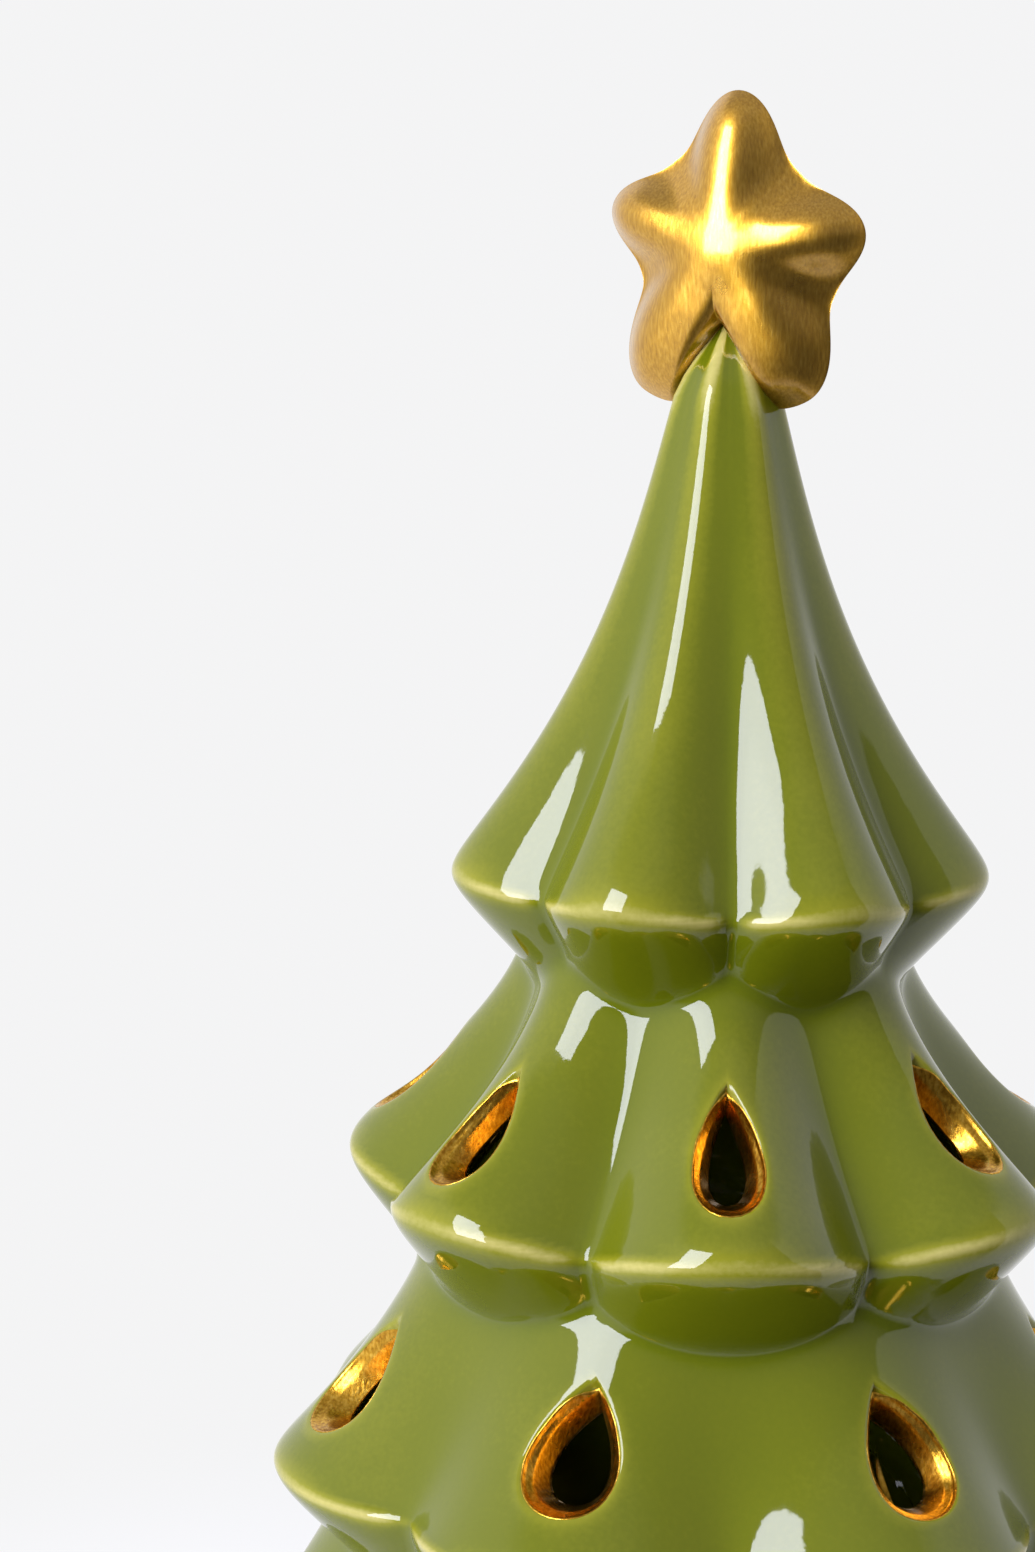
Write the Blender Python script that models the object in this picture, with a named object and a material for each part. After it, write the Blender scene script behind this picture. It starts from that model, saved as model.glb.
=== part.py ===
"""Glazed ceramic Christmas tree tealight holder: a hollow tree that lifts off a saucer base.

Sizes are in millimetres and become metres where a mesh is made. +Z is up, the star faces -Y,
and the origin is the middle of the felt that the holder stands on. An angle round the tree
is 0 at the front (-Y) and grows towards +X.
"""
import math

import bmesh
import bpy
import numpy as np
from mathutils import Matrix, Vector

MM = 0.001
CLEARANCE = 0.3

# Felt disc under the saucer
FELT_RADIUS = 46.0
FELT_THICKNESS = 2.0
FELT_PROUD = 1.0

# Saucer base with a ring that centres the tree and a seat for the tealight
SAUCER_FLOOR = 4.7
SAUCER_FOOT_WIDTH = 5.0
SAUCER_LEDGE_MARGIN = 1.4
SAUCER_RIM_WIDTH = 4.2
SAUCER_RIM_HEIGHT = 1.6
SAUCER_RIM_BEAD = 1.3
SAUCER_RIM_UNDERCUT = 2.2
SAUCER_RIM_SETBACK = 1.2
RIM_BEAD_START = -20.0
RING_RADIUS = 45.0
RING_WIDTH = 3.0
RING_HEIGHT = 3.6
RING_CLEARANCE = 0.8
SEAT_DEPTH = 1.2
SEAT_CLEARANCE = 0.8
SEAT_LIP_WIDTH = 3.4
SEAT_LIP_HEIGHT = 1.6
SEAT_LIP_CROWN = 0.9

# Tealight: cup, wax, wick and the tin sustainer that holds the wick
CUP_RADIUS = 19.0
CUP_HEIGHT = 15.0
CUP_WALL = 0.6
CUP_RIM_BEAD = 0.7
CUP_CORNER = 1.0
CUP_BEAD_START = -60.0
WAX_DEPTH = 12.0
WAX_DISH = 0.6
WAX_CORNER = 0.5
WAX_WELL = 1.6
WICK_RADIUS = 0.8
WICK_SHOWING = 7.0
WICK_BEVEL = 0.4
SUSTAINER_RADIUS = 7.5
SUSTAINER_SHEET = 0.5
SUSTAINER_COLLAR_HEIGHT = 3.2
SUSTAINER_COLLAR_WALL = 0.5

# Tree shell: heights are above its own foot
LOBES = 7
WALL = 4.2
FOOT_WIDTH = 5.0
NECK_RADIUS = 7.4
NECK_FLUTE = 0.5
SPIRE_HEIGHT = 179.0
SPIRE_DOME = 9.3
SPIRE_SOLID = 21.0
CAVITY_DOME = 12.0
WAIST_ROUNDING = 1.7
NOTCH_ROUNDING = 2.2
NOTCH_SOFTNESS = 0.05
FLUTE_SOFTNESS = 1.2
FLUTE_FADE = 0.28
CREST_SHARPNESS = 0.85
FLUTE_SHARPNESS = 1.15
HIDDEN_CLOSING = 0.6

# Windows: teardrops cut through the lobes by hand, their axis falling inwards, narrower inside.
# Each cut is (rise in shares of its length, lean and turn in degrees), lobe by lobe towards +X
WINDOW_TILT = math.radians(35.0)
WINDOW_TAPER = 2.2
WINDOW_REACH = 9.0
WINDOW2_CUTS = [(0.00, 0.0, 0.0), (0.06, 2.0, 0.0), (0.02, -4.0, 1.0), (-0.04, 2.0, -1.5),
                (0.03, 4.0, 0.5), (-0.05, -3.0, 1.5), (-0.06, -2.0, 0.0)]
WINDOW3_CUTS = [(0.02, -5.0, 0.0), (-0.01, 12.0, 0.0), (-0.04, 4.0, -1.0), (0.03, -5.0, 1.5),
                (-0.02, 5.0, -1.5), (0.04, -3.0, 1.0), (-0.05, -6.0, 0.0)]
WINDOW4_CUTS = [(0.02, 3.0, 0.5), (-0.04, -4.0, -1.0), (0.05, 2.0, 1.0), (0.00, -2.0, -3.5),
                (-0.05, 5.0, 4.5), (0.03, -5.0, -1.0), (-0.01, 2.0, 1.0)]

# Topmost tier: heights of its top and crest, radius at a lobe and at a notch, how far the notch dips
# and how broadly the lobe's crest rolls over
TIER1_TOP = 166.3
TIER1_CREST = 113.3
TIER1_LOBE = 34.8
TIER1_NOTCH = 28.1
TIER1_DIP = 1.1
TIER1_ROUNDING = 4.6

# Second tier: also its ridge and valley radius under the tier above, and its windows
TIER2_TOP = 105.6
TIER2_CREST = 77.2
TIER2_RIDGE = 23.0
TIER2_VALLEY = 20.6
TIER2_LOBE = 48.6
TIER2_NOTCH = 37.9
TIER2_DIP = 3.0
TIER2_ROUNDING = 7.2
WINDOW2_HEIGHT = 88.1
WINDOW2_WIDTH = 8.1
WINDOW2_LENGTH = 15.7

# Third tier
TIER3_TOP = 69.0
TIER3_CREST = 41.5
TIER3_RIDGE = 33.4
TIER3_VALLEY = 31.8
TIER3_LOBE = 56.5
TIER3_NOTCH = 47.0
TIER3_DIP = 0.3
TIER3_ROUNDING = 5.6
WINDOW3_HEIGHT = 54.0
WINDOW3_WIDTH = 11.2
WINDOW3_LENGTH = 15.7

# Lowest tier
TIER4_TOP = 34.2
TIER4_CREST = 9.0
TIER4_RIDGE = 44.4
TIER4_VALLEY = 40.4
TIER4_LOBE = 62.6
TIER4_NOTCH = 54.2
TIER4_DIP = 0.5
TIER4_ROUNDING = 4.6
WINDOW4_HEIGHT = 21.4
WINDOW4_WIDTH = 12.0
WINDOW4_LENGTH = 15.6

# Each tier with its turn in lobes, how its flank bows and how fast its underside closes
TIERS = [
    {"turn": 0.0, "top": TIER1_TOP, "ridge": NECK_RADIUS, "valley": NECK_RADIUS - NECK_FLUTE,
     "crest": TIER1_CREST, "lobe": TIER1_LOBE, "notch": TIER1_NOTCH, "dip": TIER1_DIP,
     "rounding": TIER1_ROUNDING, "bow": 0.50, "bow_power": 2.6, "flute_power": 2.0,
     "under_lobe": 1.00, "under_notch": 0.70},
    {"turn": 0.5, "top": TIER2_TOP, "ridge": TIER2_RIDGE, "valley": TIER2_VALLEY,
     "crest": TIER2_CREST, "lobe": TIER2_LOBE, "notch": TIER2_NOTCH, "dip": TIER2_DIP,
     "rounding": TIER2_ROUNDING, "bow": 0.25, "bow_power": 1.8, "flute_power": 1.5,
     "under_lobe": 1.00, "under_notch": 0.60,
     "window_height": WINDOW2_HEIGHT, "window_width": WINDOW2_WIDTH, "window_length": WINDOW2_LENGTH,
     "window_turn": -0.8, "cuts": WINDOW2_CUTS},
    {"turn": 0.0, "top": TIER3_TOP, "ridge": TIER3_RIDGE, "valley": TIER3_VALLEY,
     "crest": TIER3_CREST, "lobe": TIER3_LOBE, "notch": TIER3_NOTCH, "dip": TIER3_DIP,
     "rounding": TIER3_ROUNDING, "bow": 0.72, "bow_power": 3.0, "flute_power": 1.3,
     "under_lobe": 1.10, "under_notch": 0.45,
     "window_height": WINDOW3_HEIGHT, "window_width": WINDOW3_WIDTH, "window_length": WINDOW3_LENGTH,
     "window_turn": 2.2, "cuts": WINDOW3_CUTS},
    {"turn": 0.5, "top": TIER4_TOP, "ridge": TIER4_RIDGE, "valley": TIER4_VALLEY,
     "crest": TIER4_CREST, "lobe": TIER4_LOBE, "notch": TIER4_NOTCH, "dip": TIER4_DIP,
     "rounding": TIER4_ROUNDING, "bow": 0.72, "bow_power": 3.0, "flute_power": 1.3,
     "under_lobe": 1.10, "under_notch": 0.45,
     "window_height": WINDOW4_HEIGHT, "window_width": WINDOW4_WIDTH, "window_length": WINDOW4_LENGTH,
     "window_turn": -3.0, "cuts": WINDOW4_CUTS},
]

# Star: puffed, luted over the spire, its lower arms forked round it. Seen from the front, an arm is
# (degrees clockwise from straight up, reach, pinch) and a notch is (degrees, reach), with each
# reach in shares of STAR_REACH
STAR_RISE = 7.9
STAR_DEPTH = 5.8
STAR_REACH = 20.0
STAR_ARMS = [(2.0, 0.91, 1.4), (83.0, 0.84, 1.4), (150.0, 1.01, 1.0), (212.0, 1.0, 1.0),
             (288.0, 0.795, 1.4)]
STAR_NOTCHES = [(43.0, 0.61), (114.0, 0.705), (181.0, 0.93), (252.0, 0.585), (324.0, 0.615)]
FORK_DEPTH = 8.4
FORK_HALF_ANGLE = 32.0
FORK_ROUNDING = 1.2

# How finely the ceramic is faceted
COLUMN_SHARES = (0.0, 0.22, 0.5, 0.78)
OUTER_ROWS = 50
INNER_ROWS = 20
DROP_POINTS = 16
ROUND_STEPS = 40
STAR_STEPS = 5
STAR_RINGS = 8

# Heights that follow from the sizes above
RECESS_TOP = FELT_THICKNESS + CLEARANCE
FLOOR_HEIGHT = RECESS_TOP + SAUCER_FLOOR
SEAT_HEIGHT = FLOOR_HEIGHT - SEAT_DEPTH
TREE_FOOT = FLOOR_HEIGHT + CLEARANCE
CUP_BOTTOM = SEAT_HEIGHT + CLEARANCE
FOOT_BORE = RING_RADIUS + RING_CLEARANCE
SEAT_RADIUS = CUP_RADIUS + CUP_RIM_BEAD + SEAT_CLEARANCE
LOBE_STEP = 2.0 * math.pi / LOBES
CAVITY_HEIGHT = SPIRE_HEIGHT - SPIRE_SOLID
STAR_HEIGHT = SPIRE_HEIGHT + STAR_RISE


def clear_scene():
    """Removes what the new file holds."""
    for old in list(bpy.data.objects):
        bpy.data.objects.remove(old, do_unlink=True)


def make_material(name, colour, roughness, metallic=0.0):
    """Principled material of one colour."""
    material = bpy.data.materials.new(name)
    material.use_nodes = True
    shader = material.node_tree.nodes["Principled BSDF"]
    shader.inputs["Base Color"].default_value = (*colour, 1.0)
    shader.inputs["Roughness"].default_value = roughness
    shader.inputs["Metallic"].default_value = metallic
    return material


def add_mesh_object(name, mesh, material, sharp_angle=40.0):
    """Links a mesh as a named object with its own material."""
    mesh.materials.append(material)
    mesh.shade_smooth()
    mesh.set_sharp_from_angle(angle=math.radians(sharp_angle))
    piece = bpy.data.objects.new(name, mesh)
    bpy.context.collection.objects.link(piece)
    return piece


def turned_mesh(name, profile, steps=ROUND_STEPS, capped=False):
    """Spins a profile of (radius, height) points round +Z.

    The profile runs from the bottom up its outer side. A closed profile comes back to its
    first point; one whose ends lie on the axis closes there.
    """
    shape = bmesh.new()
    points = [shape.verts.new((radius * MM, 0.0, height * MM)) for radius, height in profile]
    edges = [shape.edges.new(pair) for pair in zip(points, points[1:])]
    if not capped:
        edges.append(shape.edges.new((points[-1], points[0])))
    bmesh.ops.spin(shape, geom=points + edges, cent=(0, 0, 0), axis=(0, 0, 1), dvec=(0, 0, 0),
                   angle=2.0 * math.pi, steps=steps, use_merge=True, use_duplicate=False)
    bmesh.ops.remove_doubles(shape, verts=shape.verts, dist=1e-6)
    bmesh.ops.recalc_face_normals(shape, faces=shape.faces)
    mesh = bpy.data.meshes.new(name)
    shape.to_mesh(mesh)
    shape.free()
    return mesh


def arc_points(centre, radius, start, end, count):
    """Points of an arc in the (radius, height) plane, angles in degrees from +radius."""
    angles = np.radians(np.linspace(start, end, count))
    return [(centre[0] + radius * math.cos(a), centre[1] + radius * math.sin(a)) for a in angles]


def soft_lower(first, second, width):
    """The smaller of two values, blended where they lie within width of each other."""
    return 0.5 * (first + second - np.sqrt((first - second) ** 2 + width ** 2))


def soft_upper(first, second, width):
    """The larger of two values, blended where they lie within width of each other."""
    return 0.5 * (first + second + np.sqrt((first - second) ** 2 + width ** 2))


def lobe_share(angle, turn, sharpness, softness=NOTCH_SOFTNESS):
    """1 on the middle of a lobe and 0 in a notch: the cosine of half the lobe angle to a power.

    Softness rounds the notch: the larger it is, the nearer the wave comes to a plain sine.
    """
    half_wave = np.cos(0.5 * LOBES * (angle - turn * LOBE_STEP))
    soft_wave = np.sqrt(half_wave ** 2 + softness ** 2) - softness
    full_wave = np.sqrt(1 + softness ** 2) - softness
    return np.clip(soft_wave / full_wave, 0, 1) ** sharpness


def tier_radius(tier, angle, height, inset):
    """Radius of one tier: a bowed flank above its crest, and an underside that closes below it.

    The flank grows from the tier's top to its crest as bow * u + (1 - bow) * u ** power, and
    above its top it closes inside the tier above. Its flutes deepen as u ** flute_power, and its
    notches dip below the lobes' crest.
    Inset moves both surfaces inwards, square to their slope, for the inside of the wall.
    """
    share = lobe_share(angle, tier["turn"], CREST_SHARPNESS)
    fall = (tier["top"] - height) / (tier["top"] - tier["crest"])
    height = height + tier["dip"] * (1 - share) * np.clip(fall, 0, 1)
    fall = (tier["top"] - height) / (tier["top"] - tier["crest"])
    bend = tier["bow"] * fall + (1 - tier["bow"]) * np.clip(fall, 0, None) ** tier["bow_power"]
    ridge = tier["ridge"] + (tier["lobe"] - tier["ridge"]) * bend
    flute = tier["ridge"] - tier["valley"]
    deepening = np.clip(fall, 0, None) ** tier["flute_power"]
    valley = ridge - flute - (tier["lobe"] - tier["notch"] - flute) * deepening
    rise = 1 - np.clip(fall, 0, 1)
    sharpness = CREST_SHARPNESS + (FLUTE_SHARPNESS - CREST_SHARPNESS) * rise
    softness = NOTCH_SOFTNESS + FLUTE_SOFTNESS * rise ** FLUTE_FADE
    flank = valley + (ridge - valley) * lobe_share(angle, tier["turn"], sharpness, softness)
    flank_slope = (tier["lobe"] - tier["ridge"]) / (tier["top"] - tier["crest"])
    flank = flank - inset * math.hypot(1.0, flank_slope)
    if tier is not TIERS[0]:
        flank = flank - HIDDEN_CLOSING * np.clip(height - tier["top"], 0, None)

    drop = tier["crest"] - height
    notch_under = tier["notch"] - tier["under_notch"] * drop
    lobe_under = np.maximum(tier["lobe"] - tier["under_lobe"] * drop, notch_under)
    under = notch_under + (lobe_under - notch_under) * share
    under = under - inset * math.hypot(1.0, tier["under_lobe"])
    return soft_lower(flank, under, NOTCH_ROUNDING + (tier["rounding"] - NOTCH_ROUNDING) * share)


def tree_radius(angle, height, inset=0.0):
    """Radius of the whole tree: the tiers laid over each other with rounded waists."""
    radius = tier_radius(TIERS[0], angle, height, inset)
    for tier in TIERS[1:]:
        radius = soft_upper(radius, tier_radius(tier, angle, height, inset), WAIST_ROUNDING)
    return radius


def dome_share(height, top, depth):
    """1 below the dome, then the quarter ellipse that brings a radius to 0 at the top."""
    rise = np.clip((height - (top - depth)) / depth, 0, 1)
    return np.sqrt(np.clip(1 - rise ** 2, 0, 1))


def spire_share(height):
    """1 up to the spire's point, then 1 - rise ** 1.6 to the power 0.8, a blunt cone."""
    rise = np.clip((height - (SPIRE_HEIGHT - SPIRE_DOME)) / SPIRE_DOME, 0, 1)
    return (1 - rise ** 1.6) ** 0.8


def row_heights(low, high, count, dome):
    """Heights from low to high, drawn together near the crests, ending in a rounded dome."""
    fine = np.linspace(low, high - dome, 600)
    weight = np.full_like(fine, 0.45)
    for tier in TIERS:
        weight += np.exp(-((fine - tier["crest"] + 1.0) / 3.5) ** 2)
        if tier is not TIERS[0]:
            weight += 0.7 * np.exp(-((fine - tier["top"] + 3.0) / 4.0) ** 2)
    along = np.concatenate(([0.0], np.cumsum(0.5 * (weight[1:] + weight[:-1]))))
    dome_rows = 4
    body = np.interp(np.linspace(0, along[-1], count - dome_rows), along, fine)
    arc = np.sin(np.linspace(0, 0.5 * math.pi, dome_rows + 1))[1:]
    return np.concatenate((body, high - dome + dome * arc))


def column_angles():
    """Angles of the columns: each half lobe is stepped alike from its ridge and its notch."""
    half = 0.5 * LOBE_STEP
    shares = list(COLUMN_SHARES) + [2.0 - s for s in reversed(COLUMN_SHARES[1:])]
    shares.insert(len(COLUMN_SHARES), 1.0)
    return np.array([lobe * LOBE_STEP + s * half for lobe in range(LOBES) for s in shares])


def ring_points(radius, angles, height):
    """Points of one ring in metres."""
    return np.stack((radius * np.sin(angles), -radius * np.cos(angles), height), -1) * MM


def tree_shell_mesh():
    """The slip-cast wall: rings up the outside to the spire's dome and down the cavity."""
    angles = column_angles()
    columns = len(angles)
    outer_heights = row_heights(0.0, SPIRE_HEIGHT, OUTER_ROWS, SPIRE_DOME)
    inner_heights = row_heights(0.0, CAVITY_HEIGHT, INNER_ROWS, CAVITY_DOME)

    outer = tree_radius(angles[None, :], outer_heights[:, None])
    outer *= spire_share(outer_heights)[:, None]
    inner = tree_radius(angles[None, :], inner_heights[:, None], WALL)
    inner = np.where(inner_heights[:, None] < FOOT_WIDTH, np.maximum(inner, FOOT_BORE), inner)
    inner[0, :] = FOOT_BORE
    inner *= dome_share(inner_heights, CAVITY_HEIGHT, CAVITY_DOME)[:, None]

    shape = bmesh.new()
    lift = TREE_FOOT

    def add_rings(radii, heights):
        grid = ring_points(radii, angles[None, :], np.broadcast_to(heights[:, None] + lift, radii.shape))
        return [[shape.verts.new(point) for point in ring] for ring in grid]

    outer_rings = add_rings(outer[:-1], outer_heights[:-1])
    inner_rings = add_rings(inner[:-1], inner_heights[:-1])
    spire_tip = shape.verts.new((0, 0, (outer_heights[-1] + lift) * MM))
    cavity_tip = shape.verts.new((0, 0, (inner_heights[-1] + lift) * MM))

    for column in range(columns):
        after = (column + 1) % columns
        for low, high in zip(outer_rings, outer_rings[1:]):
            shape.faces.new((low[column], low[after], high[after], high[column]))
        for low, high in zip(inner_rings, inner_rings[1:]):
            shape.faces.new((low[after], low[column], high[column], high[after]))
        shape.faces.new((outer_rings[-1][column], outer_rings[-1][after], spire_tip))
        shape.faces.new((inner_rings[-1][after], inner_rings[-1][column], cavity_tip))
        shape.faces.new((inner_rings[0][column], inner_rings[0][after],
                         outer_rings[0][after], outer_rings[0][column]))
    bmesh.ops.triangulate(shape, faces=shape.faces)
    mesh = bpy.data.meshes.new("tree_shell")
    shape.to_mesh(mesh)
    shape.free()
    return mesh


def teardrop(width, length):
    """Outline of a teardrop with its point up: x = sin(t) * sin(t / 2), y = cos(t).

    The steps start half a step from the point, so it is blunt by a hair.
    """
    turn = (np.arange(DROP_POINTS) + 0.5) * 2 * math.pi / DROP_POINTS
    across = np.sin(turn) * np.sin(0.5 * turn)
    return np.stack((across * width / (2 * 0.7698), 0.5 * length * np.cos(turn)), -1)


def window_cutters():
    """One object with a tapered teardrop plug for every window."""
    shape = bmesh.new()
    for tier in TIERS[1:]:
        for lobe, (rise, lean, turn) in enumerate(tier["cuts"]):
            angle = (lobe + tier["turn"]) * LOBE_STEP + math.radians(tier["window_turn"] + turn)
            height = tier["window_height"] + rise * tier["window_length"]
            seat = float(tree_radius(np.array([angle]), np.array([height]))[0])
            level = Vector((math.sin(angle), -math.cos(angle), 0.0))
            outward = level * math.cos(WINDOW_TILT) + Vector((0, 0, math.sin(WINDOW_TILT)))
            upward = Vector((0, 0, math.cos(WINDOW_TILT))) - level * math.sin(WINDOW_TILT)
            upward = Matrix.Rotation(math.radians(lean), 3, outward) @ upward
            across = upward.cross(outward)
            middle = level * seat + Vector((0, 0, height + TREE_FOOT))
            loops = []
            for offset in (WINDOW_REACH, -WALL - WINDOW_REACH):
                narrowing = -WINDOW_TAPER * offset / WALL
                width = tier["window_width"] - 2 * narrowing
                length = tier["window_length"] - 2 * narrowing
                floor = 0.12 * tier["window_width"]
                drop = teardrop(max(width, floor), max(length, 2 * floor))
                loops.append([shape.verts.new((middle + outward * offset + across * x + upward * y) * MM)
                              for x, y in drop])
            shape.faces.new(loops[0])
            shape.faces.new(list(reversed(loops[1])))
            for step in range(DROP_POINTS):
                after = (step + 1) % DROP_POINTS
                shape.faces.new((loops[1][step], loops[1][after], loops[0][after], loops[0][step]))
    bmesh.ops.recalc_face_normals(shape, faces=shape.faces)
    bmesh.ops.triangulate(shape, faces=shape.faces)
    mesh = bpy.data.meshes.new("window_cutters")
    shape.to_mesh(mesh)
    shape.free()
    cutter = bpy.data.objects.new("window_cutters", mesh)
    bpy.context.collection.objects.link(cutter)
    cutter.hide_render = True
    cutter.display_type = "WIRE"
    return cutter


def cut_away(piece, cutter):
    """Takes the cutter's solids out of the piece."""
    cut = piece.modifiers.new("cut", "BOOLEAN")
    cut.operation = "DIFFERENCE"
    cut.solver = "EXACT"
    cut.object = cutter


def star_outline(angle):
    """Reach, puff reach and swell of the star's edge at an angle in degrees.

    Swell is 1 on an arm and 0 in a notch, eased by a cosine. Between the lower arms the puffed
    body goes on, and a straight-sided fork is cut into it that the spire fills.
    """
    spread = len(STAR_ARMS)
    for place in range(2 * spread):
        arm = STAR_ARMS[(place + 1) // 2 % spread]
        notch = STAR_NOTCHES[place // 2]
        arm_angle = arm[0] + (360.0 if arm[0] < notch[0] and place % 2 else 0.0)
        low, high = sorted((arm_angle, notch[0]))
        if low <= angle <= high:
            swell = (0.5 + 0.5 * math.cos(math.pi * (angle - arm_angle) / (high - low))) ** arm[2]
            puff = STAR_REACH * (notch[1] + (arm[1] - notch[1]) * swell)
            if notch is not STAR_NOTCHES[2]:
                return puff, puff, swell
            side = math.radians(max(FORK_HALF_ANGLE - abs(angle - notch[0]), 2.0))
            edge = FORK_DEPTH * math.sin(math.radians(FORK_HALF_ANGLE)) / math.sin(side)
            return float(soft_lower(edge, puff, FORK_ROUNDING)), puff, 1.0
    raise ValueError(angle)


def star_mesh():
    """Puffed star: rings shrink from its edge to a peak in front and one behind.

    At share s of the puff's reach, an arm's ridge is (1 - s ** 2.2) ** 0.6 deep and a hollow
    (1 - s ** 1.6) ** 1.2. The last tenth of the way rounds off to the edge.
    """
    knots = sorted([arm[0] for arm in STAR_ARMS] + [notch[0] for notch in STAR_NOTCHES])
    knots.append(knots[0] + 360.0)
    angles = [angle for low, high in zip(knots, knots[1:])
              for angle in np.linspace(low, high, STAR_STEPS, endpoint=False)]
    columns = len(angles)
    shares = np.sin(np.linspace(0, 0.5 * math.pi, STAR_RINGS + 1))[1:]
    shape = bmesh.new()
    centre = Vector((0, 0, STAR_HEIGHT + TREE_FOOT))

    def place(angle, share, side):
        reach, puff, swell = star_outline(angle)
        puff_share = min(share * reach / puff, 1.0)
        ridge = (1 - puff_share ** 2.2) ** 0.6
        hollow = (1 - puff_share ** 1.6) ** 1.2
        depth = STAR_DEPTH * (hollow + (ridge - hollow) * swell) * (1 - share ** 8) ** 0.5
        turn = math.radians(angle)
        level = Vector((math.sin(turn) * reach * share, -depth * side, math.cos(turn) * reach * share))
        return (centre + level) * MM

    edge = [shape.verts.new(place(angle, 1.0, 0.0)) for angle in angles]
    for side in (1.0, -1.0):
        rings = [[shape.verts.new(place(angle, share, side)) for angle in angles]
                 for share in shares[:-1]]
        rings.append(edge)
        peak = shape.verts.new(place(angles[0], 0.0, side))
        for column in range(columns):
            after = (column + 1) % columns
            shape.faces.new((peak, rings[0][column], rings[0][after]))
            for low, high in zip(rings, rings[1:]):
                shape.faces.new((low[column], high[column], high[after], low[after]))
    bmesh.ops.recalc_face_normals(shape, faces=shape.faces)
    mesh = bpy.data.meshes.new("star_topper")
    shape.to_mesh(mesh)
    shape.free()
    return mesh


def spire_socket_cutter():
    """The spire's own shape, larger by the clearance, which hollows the star to fit over it."""
    heights = row_heights(0.0, SPIRE_HEIGHT, OUTER_ROWS, SPIRE_DOME)
    lowest_arm = STAR_REACH * max(reach for _, reach, _ in STAR_ARMS)
    heights = heights[heights > STAR_HEIGHT - 1.5 * lowest_arm]
    radii = tree_radius(column_angles()[:, None], heights[None, :]).max(axis=0)
    radii = radii * spire_share(heights)
    profile = [(0.0, heights[0] + TREE_FOOT)]
    profile += [(r + CLEARANCE, z + TREE_FOOT) for r, z in zip(radii[:-1], heights[:-1])]
    profile.append((0.0, heights[-1] + TREE_FOOT + CLEARANCE))
    mesh = turned_mesh("spire_socket_cutter", profile, 32, capped=True)
    cutter = bpy.data.objects.new("spire_socket_cutter", mesh)
    bpy.context.collection.objects.link(cutter)
    cutter.hide_render = True
    cutter.display_type = "WIRE"
    return cutter


def foot_reach():
    """Largest radius of the tree's foot."""
    return float(tree_radius(column_angles(), np.zeros(len(column_angles()))).max())


def saucer_mesh():
    """The saucer: felt recess, raised rim, ledge for the foot, centring ring and tealight seat."""
    recess = FELT_RADIUS + CLEARANCE
    foot_edge = recess + SAUCER_FOOT_WIDTH
    ledge_edge = foot_reach() + SAUCER_LEDGE_MARGIN
    rim = ledge_edge + SAUCER_RIM_WIDTH
    rim_top = FLOOR_HEIGHT + SAUCER_RIM_HEIGHT
    ring_top = FLOOR_HEIGHT + RING_HEIGHT
    ring_bead = 0.5 * RING_WIDTH
    ring_middle = RING_RADIUS - ring_bead
    lip = SEAT_RADIUS + SEAT_LIP_WIDTH
    lip_middle = SEAT_RADIUS + 0.5 * SEAT_LIP_WIDTH
    profile = [(0.0, RECESS_TOP), (recess, RECESS_TOP), (recess, FELT_PROUD)]
    profile += [(foot_edge, FELT_PROUD),
                (rim - SAUCER_RIM_SETBACK, FLOOR_HEIGHT - SAUCER_RIM_UNDERCUT)]
    profile += arc_points((rim - SAUCER_RIM_BEAD, rim_top - SAUCER_RIM_BEAD), SAUCER_RIM_BEAD,
                          RIM_BEAD_START, 180.0, 5)
    profile += [(ledge_edge, FLOOR_HEIGHT), (RING_RADIUS, FLOOR_HEIGHT)]
    profile += arc_points((ring_middle, ring_top - ring_bead), ring_bead, 0, 180, 5)
    profile += [(RING_RADIUS - RING_WIDTH, FLOOR_HEIGHT), (lip, FLOOR_HEIGHT)]
    profile += [(lip_middle + SEAT_LIP_CROWN, FLOOR_HEIGHT + 0.8 * SEAT_LIP_HEIGHT),
                (lip_middle, FLOOR_HEIGHT + SEAT_LIP_HEIGHT),
                (lip_middle - SEAT_LIP_CROWN, FLOOR_HEIGHT + 0.8 * SEAT_LIP_HEIGHT)]
    profile += [(SEAT_RADIUS, FLOOR_HEIGHT), (SEAT_RADIUS, SEAT_HEIGHT), (0.0, SEAT_HEIGHT)]
    return turned_mesh("base_dish", profile, ROUND_STEPS, capped=True)


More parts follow.
